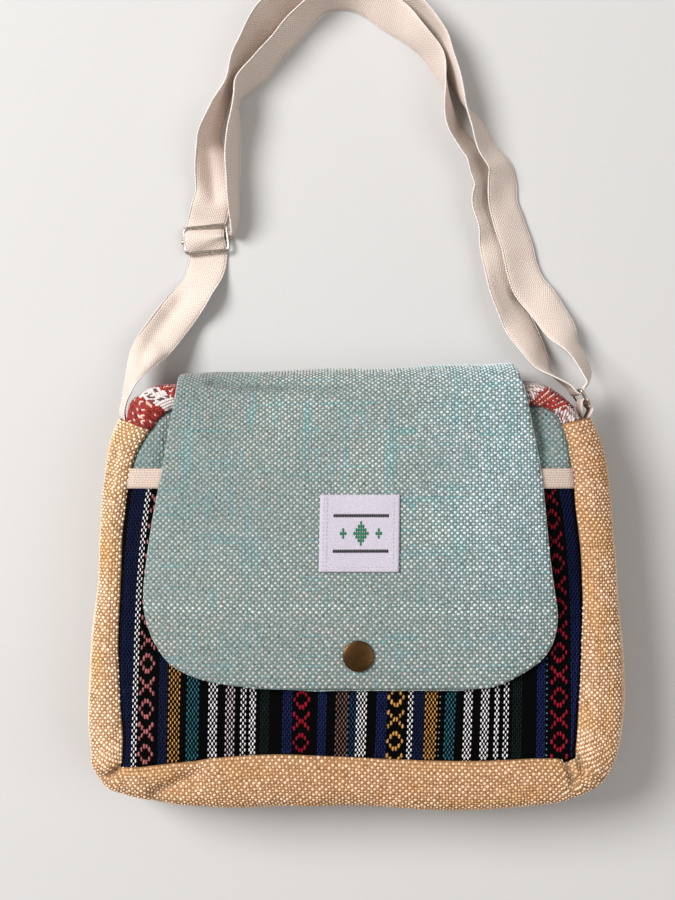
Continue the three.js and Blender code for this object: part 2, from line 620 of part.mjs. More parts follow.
const knobProfile = [
  { radius: 0, inset: 0 },
  { radius: 0.8 * SLIDER_BAR.knob, inset: 0.4 },
  { radius: SLIDER_BAR.knob, inset: 1.2 },
  { radius: SLIDER_BAR.radius, inset: 2.2 },
];
const half = SLIDER_BAR.length / 2;
const barProfile = [
  ...knobProfile.map((step) => new THREE.Vector2(step.radius, step.inset - half)),
  ...knobProfile.toReversed().map((step) => new THREE.Vector2(step.radius, half - step.inset)),
];
const barGeometry = new THREE.LatheGeometry(barProfile, 12);
barGeometry.rotateZ(Math.PI / 2);
const bar = add('slider_bar', barGeometry, nickel);
bar.rotation.z = sliderTurn;
bar.position.set(SLIDER.x, SLIDER.y, SLIDER.z - SLIDER_BAR.drop);

export default bag;
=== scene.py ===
"""Looks of a hemp messenger bag lying on its back: woven cloth, striped pocket, webbing strap and metal."""
import math

import bpy
import numpy as np
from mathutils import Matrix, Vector


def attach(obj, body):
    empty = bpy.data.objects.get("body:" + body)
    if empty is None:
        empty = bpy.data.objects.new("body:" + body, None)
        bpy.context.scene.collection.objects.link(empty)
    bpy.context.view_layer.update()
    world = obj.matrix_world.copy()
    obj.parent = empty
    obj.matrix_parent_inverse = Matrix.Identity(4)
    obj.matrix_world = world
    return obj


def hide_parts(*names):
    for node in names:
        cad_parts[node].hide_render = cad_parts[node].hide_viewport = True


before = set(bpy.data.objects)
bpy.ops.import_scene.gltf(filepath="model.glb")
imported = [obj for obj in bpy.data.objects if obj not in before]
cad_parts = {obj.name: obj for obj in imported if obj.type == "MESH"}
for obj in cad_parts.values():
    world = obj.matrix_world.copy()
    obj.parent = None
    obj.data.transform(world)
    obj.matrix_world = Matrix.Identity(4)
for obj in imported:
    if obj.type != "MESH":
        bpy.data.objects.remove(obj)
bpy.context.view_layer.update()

# Lengths below are in millimetres, in the frame's own axes, and meshes are written in metres
MM = 0.001
SEED = 11

# Cloth thicknesses and the front's dome
HEMP = 1.6
COTTON = 1.0
TAPE = 0.8
FLAP_WALL = 2.2
WEBBING = 1.4
RIM_BOTTOM = 55.0
RIM_MOUTH = 47.0
DOME = 11.0
FRONT_MIDDLE = (-4.0, 3.0)
FRONT_HALF = (127.0, 100.0)

# Side wall: the roll beside the seam and the tuck under the back
ROLL = 3.2
BACK_TUCK = 9.0

# Sections round the bag: front seam x and y, outermost wall line x and y
SECTIONS = np.array([
    (-114.6, 88.3, -135.6, 95.2), (-122.5, 74, -141.4, 80), (-127, 57, -143.7, 60), (-129, 34, -146, 33),
    (-130, 3, -147.8, 3), (-131.3, -27, -151, -27), (-131, -55, -153.3, -56), (-128.3, -80, -152.8, -83.5),
    (-128.8, -91.6, -149.5, -103), (-129.2, -97.2, -141, -114), (-122, -98.3, -126, -121),
    (-105, -96.6, -105, -125.3), (-75, -92.8, -72, -127), (-44.7, -90.9, -40, -126),
    (-9.5, -92.3, -9.5, -125), (49.3, -94.5, 50, -128), (90, -93.8, 93, -126.5), (111, -93.5, 117, -123.5),
    (118, -93.5, 139, -115), (119.5, -87, 147.5, -103), (121, -70, 153, -75), (122.8, -48, 152.8, -48),
    (124.1, -14, 150, -16), (123.2, 17, 148.6, 18), (120.6, 44, 146, 44), (119, 66, 142.6, 69),
    (116.5, 83, 137.5, 87), (113.5, 91.5, 133, 95.5), (110.5, 97, 126.5, 99.5), (104, 100.5, 119, 107),
    (92, 102.5, 104.5, 114.5), (60, 103.5, 64, 117), (-5, 104, -5, 117), (-70, 103.5, -76, 116),
    (-92, 102.5, -102, 114.5), (-104, 99.5, -116.8, 112.6), (-110.5, 94.5, -127.6, 105.6),
    (-113, 91, -132.2, 99.2),
])
TOP_LEFT, BOTTOM_LEFT, BOTTOM_RIGHT, TOP_RIGHT = 0, 9, 18, 27

# Flap rows from the sewn edge round the fold to the free edge: y, z (none where it rides), left, right
FLAP_ROWS = [
    (113.2, 1.7, -99, 88), (119.4, 6.2, -99.6, 88.6), (121.6, 16, -99.8, 88.4), (122.2, 28, -100.2, 88.6),
    (120.5, 40, -99.8, 88.8), (115.5, 49.5, -99.5, 89.8), (107, 54.6, -100.4, 91.8),
    (88, None, -103.3, 96.4), (72, None, -105.8, 99.4), (55, None, -108.8, 101.6), (38, None, -112, 103.2),
    (18, None, -114.8, 105), (0, None, -116.6, 107.4), (-13, None, -115.8, 109), (-24, None, -112.2, 107.6),
    (-33, None, -107, 103.4), (-39.6, None, -101, 96.6), (-45.3, None, -90.4, 87), (-48.8, None, -77, 80),
    (-51, None, -60, 74), (-52, None, -42, 66), (-52.7, None, -22, 54),
]
FLAP_LIFT = 6.5
FLAP_CLEAR = 5.3
FOLD_LEAN = 0.034

# Pocket and tape levels, and the label and snap on the flap
POCKET_TOP = 57.0
TAPE_BOTTOM = 55.7
TAPE_TOP = 66.7
LABEL = {"x": 0.9, "y": 31.9, "width": 43.0, "height": 41.5, "wall": 0.5}
SNAP = {"x": 0.3, "y": -33.8, "radius": 8.4, "height": 2.2}

# Strap rows: x, y, z of its middle, lean about its run in degrees, share of its width where it isn't 1
STRAP_OUT = [
    (-130.6, 90.5, 31, 80), (-132.1, 95.2, 31, 77), (-132.8, 99.4, 31, 72), (-131.6, 106, 30, 70),
    (-128.6, 119, 26, 61), (-120.8, 133.4, 19, 24), (-113.7, 143.8, 13, 5), (-104.2, 157.8, 7.4, 5),
    (-93.8, 171.2, 6.2, 27), (-88.4, 184.5, 2.0, 5), (-87.4, 193.4, 1.5, 0), (-89.5, 200.9, 6.6, 0, 1.07),
    (-89, 208.4, 1.5, 0), (-86.4, 217.5, 4.2, -9), (-83.6, 229.2, 7.0, -8, 0.95), (-84.8, 247.3, 9.2, -38),
    (-85.4, 260.2, 9.9, -56), (-80.5, 274.1, 11.2, -72), (-76.2, 285.4, 11.5, -80),
    (-72.8, 293.8, 11.5, -80), (-66.4, 307.2, 11.1, -70), (-58.8, 321.4, 10.4, -60),
    (-49.6, 333.4, 9.6, -54), (-36.6, 345.2, 9.5, -54), (-20.8, 352.4, 10.5, -60), (-3.6, 354.6, 11, -66),
    (13.4, 351.4, 11.2, -70), (24.6, 345, 11.3, -73), (33, 337.4, 11.2, -73), (41.5, 328.4, 11.2, -72),
    (49.4, 317.6, 11.4, -76), (52, 307.8, 11.4, -78), (56.2, 296.5, 11.5, -80), (61.6, 283.7, 11.6, -90),
    (67.4, 273, 10.9, -112), (71.6, 263.5, 10.4, -120), (77, 253.2, 9.8, -126), (84, 243, 8.4, -137),
    (85.6, 234, 7.3, -145), (86.2, 222.2, 7.2, -146), (89.4, 210.5, 6.8, -149), (94, 196.5, 6.6, -152),
    (98, 181.6, 7.2, -152), (101.8, 172.8, 7.4, -162), (108.2, 164.4, 8.4, -164),
    (113.6, 155.7, 10.6, -160), (118.4, 147.1, 15, -148), (123.6, 137.2, 22, -126),
    (128.2, 128.5, 26.8, -118), (131, 120, 29.8, -113), (130.4, 114, 31, -100),
]
STRAP_BACK = [
    (120.7, 112.7, 30.6, -88), (112.8, 119, 27, -82), (107, 127, 19.8, -61), (101.7, 138, 12.6, -42),
    (94.8, 151.3, 7.8, -34), (87, 166, 7.6, -38), (85.4, 183, 6.8, -18), (82.4, 198, 6.8, -18),
    (79.2, 209.1, 7.6, -39), (76, 221.7, 7.6, -38), (77, 231.6, 7.9, -40), (74, 240.7, 8, -41),
    (70.4, 249, 8.9, -48), (64.4, 255.8, 9.7, -54), (57.2, 265.4, 10.3, -62), (54.2, 277.6, 11, -72),
    (51.4, 288.9, 11.5, -88), (46.8, 302.4, 11.2, -106), (40, 313.8, 10.8, -115), (31, 322.6, 10, -124),
    (20, 332, 8.4, -138), (7, 340, 9, -132), (-6, 342.6, 10.3, -120), (-18.6, 339.6, 11, -112),
    (-27.8, 331.8, 11.1, -110), (-35, 324, 10.5, -116), (-46, 312, 10.7, -116), (-57, 300, 10.6, -116),
    (-66, 289.6, 10.9, -110), (-70, 281.6, 11.5, -92), (-70.8, 270.1, 11.4, -98), (-72, 252, 11.4, -103),
    (-71.6, 231.5, 11.4, -103), (-71.4, 217, 10.6, -103, 0.92), (-72, 208.6, 7.6, -98, 0.62),
    (-72.8, 202.6, 5.4, -92, 0.4),
]
STRAP_WIDTH = 22.0
STRAP_MESH = {"step": 1.8, "cells": 13}
WIRE = 1.0
SLIDER = {"x": -88.2, "y": 200.9, "z": 4.3, "width": 25.4, "height": 15.0, "corner": 2.6, "turn": 6.0}
SLIDER_BAR = {"length": 30.4, "drop": 2.6, "radius": 0.9, "knob": 1.5}
RING = {"x": 126.85, "y": 106.95, "z": 31.0, "width": 7.75, "height": 27.0, "corner": 1.6, "turn": -59.8}
TAB = {"width": 18.0, "heading": 61.9, "step": 0.5, "cells": 11}
TAB_LEFT = [(126.9, 93.8), (126.4, 98.8)]
TAB_RIGHT = [(132.6, 100.2), (129.6, 93.8)]
WRAP = WIRE + 0.75 + 0.35

# Weave of the hemp: thread spacing, and half length, half width and height of a thread's float
PITCH = 1.74
WEFT_FLOAT = (1.02, 0.97, 0.46)
GUSSET_FLOAT = (1.02, 1.04, 0.5)
WARP_FLOAT = (0.98, 0.72, 0.24)

# Folds and dents in plan: from x, y to x, y, width, depth
STRAP_HOLLOWS = [
    (-103, 164, -110, 155, 5.5, 3.2), (-110, 155, -118, 142, 6.0, 4.8), (-118, 142, -124, 129, 4.5, 4.0),
    (-89, 254, -83.5, 226, 4.5, 4.0), (-110, 130, -122, 117, 2.6, 3.6), (-122, 117, -127, 109, 2.4, 2.6),
]
GUSSET_DENTS = [
    (-131.2, -97.8, -136.5, -101.6, 2.0, 3.2), (-136.5, -101.6, -139.5, -102.6, 1.8, 1.8),
    (113.8, -93.5, 118, -106, 2.2, 3.0), (120.3, -91, 122.5, -97.5, 2.0, 2.6),
    (-136, -94.5, -143, -96, 4.0, -1.2), (117.2, -93, 119.8, -100, 2.8, -1.4),
    (-88, -101.5, -109.5, -112.5, 5.5, 4.6), (141, -105, 128, -118, 7, 1.0),
    (-132.4, 78, -135.8, 56, 2.8, 1.5), (-128, -112, -116, -116, 6, 1.0),
]
SHARP_FOLDS = 4
FLAP_DENTS = [
    (-81, 114.4, -64, 111.7, 2.2, 2.0), (-64, 111.7, -39, 110.6, 2.2, 2.6),
    (-39, 110.6, -10, 110.2, 2.8, 1.6), (40, 60, 70, 10, 12, 1.5), (-70, 90, -40, 60, 11, 1.1),
    (-96, 70, -84, 40, 9, 1.3), (66, 96, 84, 70, 9, 1.0), (-60, 60, -95, 30, 12, 1.0),
    (20, -14, 60, -34, 14, 0.8),
]
FRONT_DENTS = [(96, 98, 102, 79, 4.5, 3.6), (-98, 94, -107, 66, 4.5, 1.8)]

# Stripes of the pocket at STRIPE_LEVEL: from x, to x, colour, and how it is woven where it isn't plain
STRIPE_LEVEL = -81.0
STRIPES = [
    (-132, -123.8, "navy"), (-123.8, -120.5, "white"), (-120, -111.4, "pink", "figure"),
    (-109, -104.1, "navy"), (-103.8, -97, "gold"), (-93.7, -86.6, "teal"), (-81.7, -76.5, "white"),
    (-72.4, -66.9, "mauve"), (-64.2, -60.7, "white"), (-59.3, -55.5, "white"), (-53.3, -48.4, "pine"),
    (-41.2, -35.8, "blue"), (-35.4, -26.2, "crimson", "figure"), (-22.1, -17.2, "blue"),
    (-12.5, -5.2, "taupe"), (-5.2, -1.3, "petrol"), (-1.3, 4.7, "white"), (9.6, 15.6, "blue"),
    (15.6, 25.0, "gold", "figure"), (26.6, 29.8, "white"), (29.8, 35.9, "navy"), (35.9, 43, "gold"),
    (43.3, 45.1, "pale", "dotted"), (46.8, 52.8, "teal"), (57.2, 62.1, "white"), (66.5, 71.4, "white"),
    (74.1, 76.9, "white"), (79, 82.3, "white"), (84, 89.4, "pine"), (97.6, 102.5, "blue"),
    (102.5, 104.2, "sea", "dotted"), (105.4, 115.2, "crimson", "figure"), (116.8, 127, "blue"),
]
YARNS = {
    "black": (3, 3, 4), "navy": (20, 27, 56), "white": (225, 221, 221), "pink": (158, 92, 94),
    "gold": (186, 136, 72), "teal": (44, 98, 108), "mauve": (196, 182, 188), "pine": (17, 27, 25),
    "blue": (24, 32, 74), "crimson": (134, 20, 38), "taupe": (112, 86, 78), "petrol": (28, 60, 88),
    "pale": (126, 142, 138), "sea": (92, 140, 142),
}
STRIPE_PITCH = (1.07, 1.66)
STRIPE_FLOAT = (1.2, 0.58, 0.4)
SOLID_FLOAT = (1.95, 0.63, 0.34)
DOT_FLOAT = (0.62, 0.5, 0.34)
SOLID = ("navy", "blue", "black", "pine")

# Woven figures of the stripes, a ring and a cross in turn: thread column and height of a quarter's dashes
RING_QUARTER = [(2.5, 0), (1.5, 2.6), (0.5, 4.3)]
CROSS_QUARTER = [(2.5, 3.9), (1.5, 2.1), (0.5, 0)]
FIGURE_COLUMNS = 6
FIGURE_FLOAT = (1.75, 0.86, 0.44)
FIGURE_LEVELS = {"pink": (-89.5, 24.9), "crimson": (-82.6, 24.3), "gold": (-81.6, 24.5)}

# Brocade blocks along the top band, from its right and from its left end: end of each block and its colour
RIGHT_BLOCKS = [(8, "white"), (27, "red"), (48, "white")]
LEFT_BLOCKS = [(19, "red"), (30, "white"), (54, "red")]
BLOCK_REPEAT = 20.0
BLOCK_SLANT = 0.3

# Plain ornament of the label: small green lozenges between dark lines
LABEL_CHART = (
    "kkkkkkkkkkkkkkkkkkkkkkkkk",
    ".........................",
    "............g............",
    "...........ggg...........",
    "....g.....ggggg.....g....",
    "...ggg...ggggggg...ggg...",
    "....g.....ggggg.....g....",
    "...........ggg...........",
    "............g............",
    ".........................",
    "kkkkkkkkkkkkkkkkkkkkkkkkk",
)
LABEL_CELL = (1.2, 1.9)
MARK_FLOAT = (0.8, 1.15, 0.14)
MARK_RISE = 0.14

# Photograph's frame, and the camera that gives its view
PHOTO_HEIGHT = 900
CAMERA = {"x": -10.9, "y": 76.8, "z": 750.0, "focal_px": 1265.6}
SENSOR = 36.0

# A fractional place on a grid stays this much short of the number of its points
CELL_END = 1.001


def srgb(rgb):
    """Linear colour of an 8-bit display colour."""
    share = np.asarray(rgb, float) / 255
    return np.where(share <= 0.04045, share / 12.92, ((share + 0.055) / 1.055) ** 2.4)


def unit(vectors):
    return vectors / np.maximum(np.linalg.norm(vectors, axis=-1, keepdims=True), 1e-9)


def ease(share):
    """Smooth step from 0 to 1."""
    share = np.clip(share, 0, 1)
    return share * share * (3 - 2 * share)


def hermite(start, end, leave, arrive, share):
    """Cubic from start to end with these slopes at its ends."""
    square, cube = share ** 2, share ** 3
    return (start * (2 * cube - 3 * square + 1) + leave * (cube - 2 * square + share)
            + end * (3 * square - 2 * cube) + arrive * (cube - square))


def through(points, places, closed=False):
    """Centripetal curve through points (..., n, d) at fractional point numbers (k)."""
    points = np.asarray(points, float)
    count = points.shape[-2]
    at = np.floor(places).astype(int)
    if closed:
        near = [points[..., (at + shift) % count, :] for shift in (-1, 0, 1, 2)]
    else:
        at = np.clip(at, 0, count - 2)
        first = 2 * points[..., :1, :] - points[..., 1:2, :]
        last = 2 * points[..., -1:, :] - points[..., -2:-1, :]
        longer = np.concatenate([first, points, last], axis=-2)
        near = [longer[..., at + shift, :] for shift in (0, 1, 2, 3)]
    before, start, end, after = near
    gaps = [np.sum((b - a) ** 2, -1, keepdims=True) ** 0.25 for a, b in zip(near[:-1], near[1:])]
    gap0, gap1, gap2 = (np.maximum(gap, 1e-4) for gap in gaps)
    leave = ((start - before) / gap0 - (end - before) / (gap0 + gap1) + (end - start) / gap1) * gap1
    arrive = ((end - start) / gap1 - (after - start) / (gap1 + gap2) + (after - end) / gap2) * gap1
    return hermite(start, end, leave, arrive, (places - at)[:, None])


def column(values, places):
    """Smooth value of a table's column at fractional row numbers."""
    values = np.asarray(values, float)
    last = len(values) - 1
    at = np.clip(np.floor(places).astype(int), 0, last - 1)
    before, start, end, after = (values[np.clip(at + shift, 0, last)] for shift in (-1, 0, 1, 2))
    return hermite(start, end, (end - before) / 2, (after - start) / 2, places - at)


def run_length(line):
    """Length along a line of points, at each point."""
    return np.concatenate([[0], np.cumsum(np.linalg.norm(np.diff(line, axis=0), axis=1))])


def evenly(line, places, count):
    """Places that are evenly spaced by length along a line of points, and its whole length."""
    length = run_length(line)
    return np.interp(np.linspace(0, length[-1], count), length, places), length[-1]


def along_line(values, length, at):
    """Rows of values that are given at lengths along a line, taken at other lengths."""
    return np.stack([np.interp(at, length, each) for each in values.T], -1)


def pick(chosen, *arrays):
    return [array[chosen] for array in arrays]


PATCH_TABLE = 64


def patches(x, y, size, seed):
    """Smooth random value from 0 to 1 over the plane, with features of about that size."""
    table = np.random.default_rng(seed).random((PATCH_TABLE, PATCH_TABLE))
    fx, fy = np.asarray(x, float) / size, np.asarray(y, float) / size
    ix, iy = np.floor(fx).astype(int), np.floor(fy).astype(int)
    sx, sy = ease(fx - ix), ease(fy - iy)

    def corner(i, j):
        return table[(ix + i) % PATCH_TABLE, (iy + j) % PATCH_TABLE]

    low = corner(0, 0) * (1 - sx) + corner(1, 0) * sx
    high = corner(0, 1) * (1 - sx) + corner(1, 1) * sx
    return low * (1 - sy) + high * sy


def dents(x, y, table):
    """Depth of the deepest fold of a table at each point, less its highest ridge, of depth below zero."""
    hollow, ridge = np.zeros_like(x), np.zeros_like(x)
    for ax, ay, bx, by, width, most in table:
        long = (bx - ax) ** 2 + (by - ay) ** 2
        share = np.clip(((x - ax) * (bx - ax) + (y - ay) * (by - ay)) / long, 0, 1)
        away = np.hypot(x - ax - share * (bx - ax), y - ay - share * (by - ay))
        here = most * np.exp(-((away / width) ** 2))
        hollow = np.maximum(hollow, here)
        ridge = np.minimum(ridge, here)
    return hollow + ridge


def front_height(x, y):
    """Height of the domed front, which falls towards the mouth."""
    across = np.minimum(1, np.abs(x - FRONT_MIDDLE[0]) / FRONT_HALF[0])
    along = np.minimum(1, np.abs(y - FRONT_MIDDLE[1]) / FRONT_HALF[1])
    up = np.clip((y - FRONT_MIDDLE[1] + FRONT_HALF[1]) / (2 * FRONT_HALF[1]), 0, 1)
    return RIM_BOTTOM + (RIM_MOUTH - RIM_BOTTOM) * up + DOME * (1 - across ** 3) * (1 - along ** 3)


def normal_to(height, x, y, step):
    """Normal of a surface that is given by its height over the plane."""
    slope_x = (height(x + step, y) - height(x - step, y)) / (2 * step)
    slope_y = (height(x, y + step) - height(x, y - step)) / (2 * step)
    return unit(np.stack([-slope_x, -slope_y, np.ones_like(slope_x)], -1))


def normals_of(grid, outward):
    return outward * unit(np.cross(np.gradient(grid, axis=0), np.gradient(grid, axis=1)))


def sample(field, i, j):
    """Values of a grid field at fractional places."""
    i = np.clip(i, 0, field.shape[0] - CELL_END)
    j = np.clip(j, 0, field.shape[1] - CELL_END)
    a, b = i.astype(int), j.astype(int)
    s, t = (i - a)[:, None], (j - b)[:, None]
    low = field[a, b] * (1 - s) + field[a + 1, b] * s
    high = field[a, b + 1] * (1 - s) + field[a + 1, b + 1] * s
    return low * (1 - t) + high * t


# Meshes

def link(name, data):
    made = bpy.data.objects.new(name, data)
    bpy.context.scene.collection.objects.link(made)
    return made


def new_object(name, points, faces, material, colors=None, uv=None):
    """Smooth mesh object from points in millimetres, with a colour and a place on the cloth at each point."""
    mesh = bpy.data.meshes.new(name)
    mesh.from_pydata((np.asarray(points) * MM).tolist(), [], faces)
    mesh.polygons.foreach_set("use_smooth", [True] * len(mesh.polygons))
    if colors is not None:
        layer = mesh.color_attributes.new("tone", "FLOAT_COLOR", "POINT")
        rgba = np.concatenate([colors, np.ones((len(colors), 1))], axis=1)
        layer.data.foreach_set("color", rgba.astype(np.float32).ravel())
    if uv is not None:
        layer = mesh.uv_layers.new(name="cloth")
        ids = np.empty(len(mesh.loops), np.int32)
        mesh.loops.foreach_get("vertex_index", ids)
        layer.data.foreach_set("uv", np.asarray(uv, np.float32)[ids].ravel())
    mesh.materials.append(material)
    mesh.update()
    return link(name, mesh)


def cloth(name, middle, half, outward, material, uv):
    """Closed cloth about a grid of points, half of its thickness to each side."""
    across, along = middle.shape[:2]
    shift = normals_of(middle, outward) * np.broadcast_to(half, middle.shape[:2])[..., None]
    points = np.concatenate([(middle + shift).reshape(-1, 3), (middle - shift).reshape(-1, 3)])
    number = np.arange(across * along).reshape(across, along)
    quads = np.stack([number[:-1, :-1], number[1:, :-1], number[1:, 1:], number[:-1, 1:]], -1).reshape(-1, 4)
    ring = np.concatenate([number[:, 0], number[-1, 1:], number[-2::-1, -1], number[0, -2:0:-1]])
    after = np.roll(ring, -1)
    if outward < 0:
        quads = quads[:, ::-1]
        ring, after = after, ring
    under = quads[:, ::-1] + across * along
    rim = np.stack([after, ring, ring + across * along, after + across * along], -1)
    faces = np.concatenate([quads, under, rim]).tolist()
    return new_object(name, points, faces, material, uv=np.concatenate([uv.reshape(-1, 2)] * 2))


# A thread's float: its rim and its ridge, as shares of its half length and half width, and its faces
RIM = np.array([(1, 0), (0.55, 1), (-0.55, 1), (-1, 0), (-0.55, -1), (0.55, -1)])
RIDGE = np.array([(0.42, 0), (-0.42, 0)])
FLOAT_POINTS = len(RIM) + len(RIDGE)
FLOAT_FACES = [(0, 1, 6), (1, 2, 7, 6), (2, 3, 7), (3, 4, 7), (4, 5, 6, 7), (5, 0, 6), (5, 4, 3, 2, 1, 0)]
SINK = 0.2


def threads(name, places, normals, ways, sizes, colors, material):
    """One mesh of short raised stretches of thread: half length, half width and height in sizes (n, 3)."""
    ways = unit(ways - normals * np.sum(ways * normals, -1, keepdims=True))
    sides = np.cross(normals, ways)
    count = len(places)
    sizes = np.broadcast_to(sizes, (count, 3))
    points = np.empty((count, FLOAT_POINTS, 3))
    for k, (long, wide) in enumerate(np.concatenate([RIM, RIDGE])):
        lift = sizes[:, 2:] if k >= len(RIM) else np.full((count, 1), -SINK)
        points[:, k] = places + ways * long * sizes[:, :1] + sides * wide * sizes[:, 1:2] + normals * lift
    faces = []
    for base in range(0, count * FLOAT_POINTS, FLOAT_POINTS):
        faces.extend([tuple(base + k for k in face) for face in FLOAT_FACES])
    return new_object(name, points.reshape(-1, 3), faces, material, np.repeat(colors, FLOAT_POINTS, axis=0))


def lattice(start, stop, pitch, rows):
    """Thread crossings, with columns at an even pitch and rows at given places: place and number each way."""
    columns = np.arange(start, stop, pitch)
    col, row = (numbers.ravel() for numbers in np.indices((len(columns), len(rows))))
    return columns[col], rows[row], col, row


# Colours of threads

def tint(base, spread, count, rng):
    """Colours about a base colour, lighter and darker by a share of up to spread."""
    return srgb(base) * (1 + spread * rng.uniform(-1, 1, (count, 1)))


def mix(a, b, share):
    return a + (b - a) * np.asarray(share)[:, None]


def blotches(colors, tone, most, field, gain, start):
    """Colours with up to a share of a tone, where a field, times gain and less start, is over 0."""
    return mix(colors, srgb(tone), most * ease(field * gain - start))


def flecks(colors, tone, share, chance, rng):
    """Colours with a share of a tone on a few threads, taken by chance."""
    return mix(colors, srgb(tone), share * (rng.random(len(colors)) < chance))


# Materials

SURFACE = ("Roughness", "Sheen Weight", "Specular IOR Level", "Metallic")
OUTPUTS = {
    "TexCoord": "Object", "TexNoise": "Fac", "TexWave": "Fac", "UVMap": "UV",
    "Attribute": "Color", "Bump": "Normal",
    "MapRange": "Result", "ValToRGB": "Color", "VectorMath": "Vector", "Math": "Value",
}


def shader(name, roughness=0.5, sheen=0.0, gloss=0.5, metallic=0.0):
    """Material, its node tree and the inputs of its surface."""
    made = bpy.data.materials.new(name)
    made.use_nodes = True
    inputs = made.node_tree.nodes["Principled BSDF"].inputs
    for key, value in zip(SURFACE, (roughness, sheen, gloss, metallic)):
        inputs[key].default_value = value
    return made, made.node_tree, inputs


def node(tree, kind, inputs=None, **settings):
    """Main output of a new node, whose inputs are values or the outputs of other nodes."""
    made = tree.nodes.new("ShaderNode" + kind)
    for key, value in settings.items():
        setattr(made, key, value)
    for key, value in (inputs or {}).items():
        if isinstance(value, bpy.types.NodeSocket):
            tree.links.new(value, made.inputs[key])
        else:
            made.inputs[key].default_value = value
    return made.outputs[OUTPUTS[kind]]


def noise(tree, scale, detail, roughness):
    place = node(tree, "TexCoord")
    return node(tree, "TexNoise", {"Vector": place, "Scale": scale, "Detail": detail, "Roughness": roughness})


def relief(tree, surface, height, strength, distance):
    bump = node(tree, "Bump", {"Height": height, "Strength": strength, "Distance": distance})
    tree.links.new(bump, surface["Normal"])


def two_tones(tree, surface, share, tones, span):
    """Colour of a surface between a dark and a light tone, over a span of a share."""
    color = node(tree, "ValToRGB", {"Fac": share})
    for element, tone, at in zip(color.node.color_ramp.elements, tones, span):
        element.position = at
        element.color = (*srgb(tone), 1)
    tree.links.new(color, surface["Base Color"])


def thread_material(name, sheen=0.1, roughness=0.85, gloss=0.25):
    """Thread that takes each stretch's own colour, with paler and darker fibres along it."""
    made, tree, surface = shader(name, roughness, sheen, gloss)
    fuzz = noise(tree, 2600.0, 4.0, 0.65)
    relief(tree, surface, fuzz, 0.35, 0.0003)
    shade = node(tree, "MapRange", {"Value": fuzz, "To Min": 0.72, "To Max": 1.24})
    tone = node(tree, "Attribute", attribute_name="tone")
    color = node(tree, "VectorMath", {0: tone, 1: shade}, operation="MULTIPLY")
    tree.links.new(color, surface["Base Color"])
    return made


def ground_material(name, dark, light, scale=900.0, gloss=0.15):
    """Cloth between the threads: two tones of one yarn, with fine hairy relief."""
    made, tree, surface = shader(name, roughness=0.9, gloss=gloss)
    fuzz = noise(tree, scale, 4.0, 0.65)
    relief(tree, surface, fuzz, 0.6, 0.0004)
    two_tones(tree, surface, fuzz, (dark, light), (0.35, 0.65))
    return made


def webbing_material(name, dark, light, rib, twill):
    """Cotton webbing: fine ribs along it, crossed by a slanting twill line, in cloth millimetres."""
    made, tree, surface = shader(name, roughness=0.85, sheen=0.1, gloss=0.2)
    place = node(tree, "UVMap", uv_map="cloth")
    waves = []
    for scale, bend, way in ((rib, 0.5, "X"), (twill, 0.6, "DIAGONAL")):
        inputs = {"Vector": place, "Scale": scale, "Distortion": bend, "Detail": 1.0}
        waves.append(node(tree, "TexWave", inputs, bands_direction=way))
    fibres = node(tree, "TexNoise", {"Vector": place, "Scale": 1.6, "Detail": 3.0})
    both = node(tree, "Math", {0: waves[0], 1: waves[1]}, operation="MULTIPLY")
    blend = node(tree, "Math", {0: both, 1: 0.6, 2: fibres}, operation="MULTIPLY_ADD")
    two_tones(tree, surface, blend, (dark, light), (0.35, 1.0))
    relief(tree, surface, both, 0.6, 0.0004)
    return made


def metal_material(name, dark, light, rough, scale):
    """Metal with patches of tarnish and fine scratches."""
    made, tree, surface = shader(name, metallic=1.0)
    spots = noise(tree, scale, 6.0, 0.7)
    two_tones(tree, surface, spots, (dark, light), (0.35, 0.7))
    dull = node(tree, "MapRange", {"Value": spots, "To Min": rough + 0.15, "To Max": rough - 0.1})
    tree.links.new(dull, surface["Roughness"])
    relief(tree, surface, spots, 0.15, 0.0002)
    return made


hemp_thread = thread_material("hemp_thread")
stripe_thread = thread_material("stripe_thread", sheen=0.0, gloss=0.05)
brocade_thread = thread_material("brocade_thread", sheen=0.2)
satin_thread = thread_material("satin_thread", roughness=0.5)
teal_ground = ground_material("teal_ground", (84, 100, 98), (128, 146, 143))
tan_ground = ground_material("tan_ground", (124, 88, 58), (174, 131, 91))
stripe_ground = ground_material("stripe_ground", (2, 2, 3), (5, 5, 6), gloss=0.04)
brocade_ground = ground_material("brocade_ground", (92, 22, 18), (140, 48, 38))
label_ground = ground_material("label_ground", (175, 168, 180), (199, 193, 204), scale=1500.0)
webbing_cream = webbing_material("webbing_cream", (186, 165, 150), (242, 229, 220), 0.28, 0.36)
tape_cream = webbing_material("tape_cream", (158, 134, 117), (226, 210, 198), 0.24, 0.40)
antique_brass = metal_material("antique_brass", (68, 47, 27), (102, 75, 45), 0.36, 90.0)
# Lighter brass for the snap's rim: a painted highlight round the rim
rim_highlight_brass = metal_material("rim_highlight_brass", (110, 82, 50), (176, 142, 98), 0.3, 300.0)
nickel = metal_material("nickel", (150, 138, 126), (228, 221, 212), 0.24, 600.0)


def keep(piece, slot, *nodes):
    """Sets a piece on the bag's one body and hides the solids that it stands for; slot, its finish, is not
    used.
    """
    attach(piece, "root")
    if nodes:
        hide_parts(*nodes)
    return piece


def thread_ways(place, a, b, step):
    """Directions of the threads across and along a cloth."""
    return place(a + step, b)[0] - place(a - step, b)[0], place(a, b + step)[0] - place(a, b - step)[0]


JITTER = 0.12
GROWTH = (0.74, 1.16)
WEAVE_STEP = 0.4


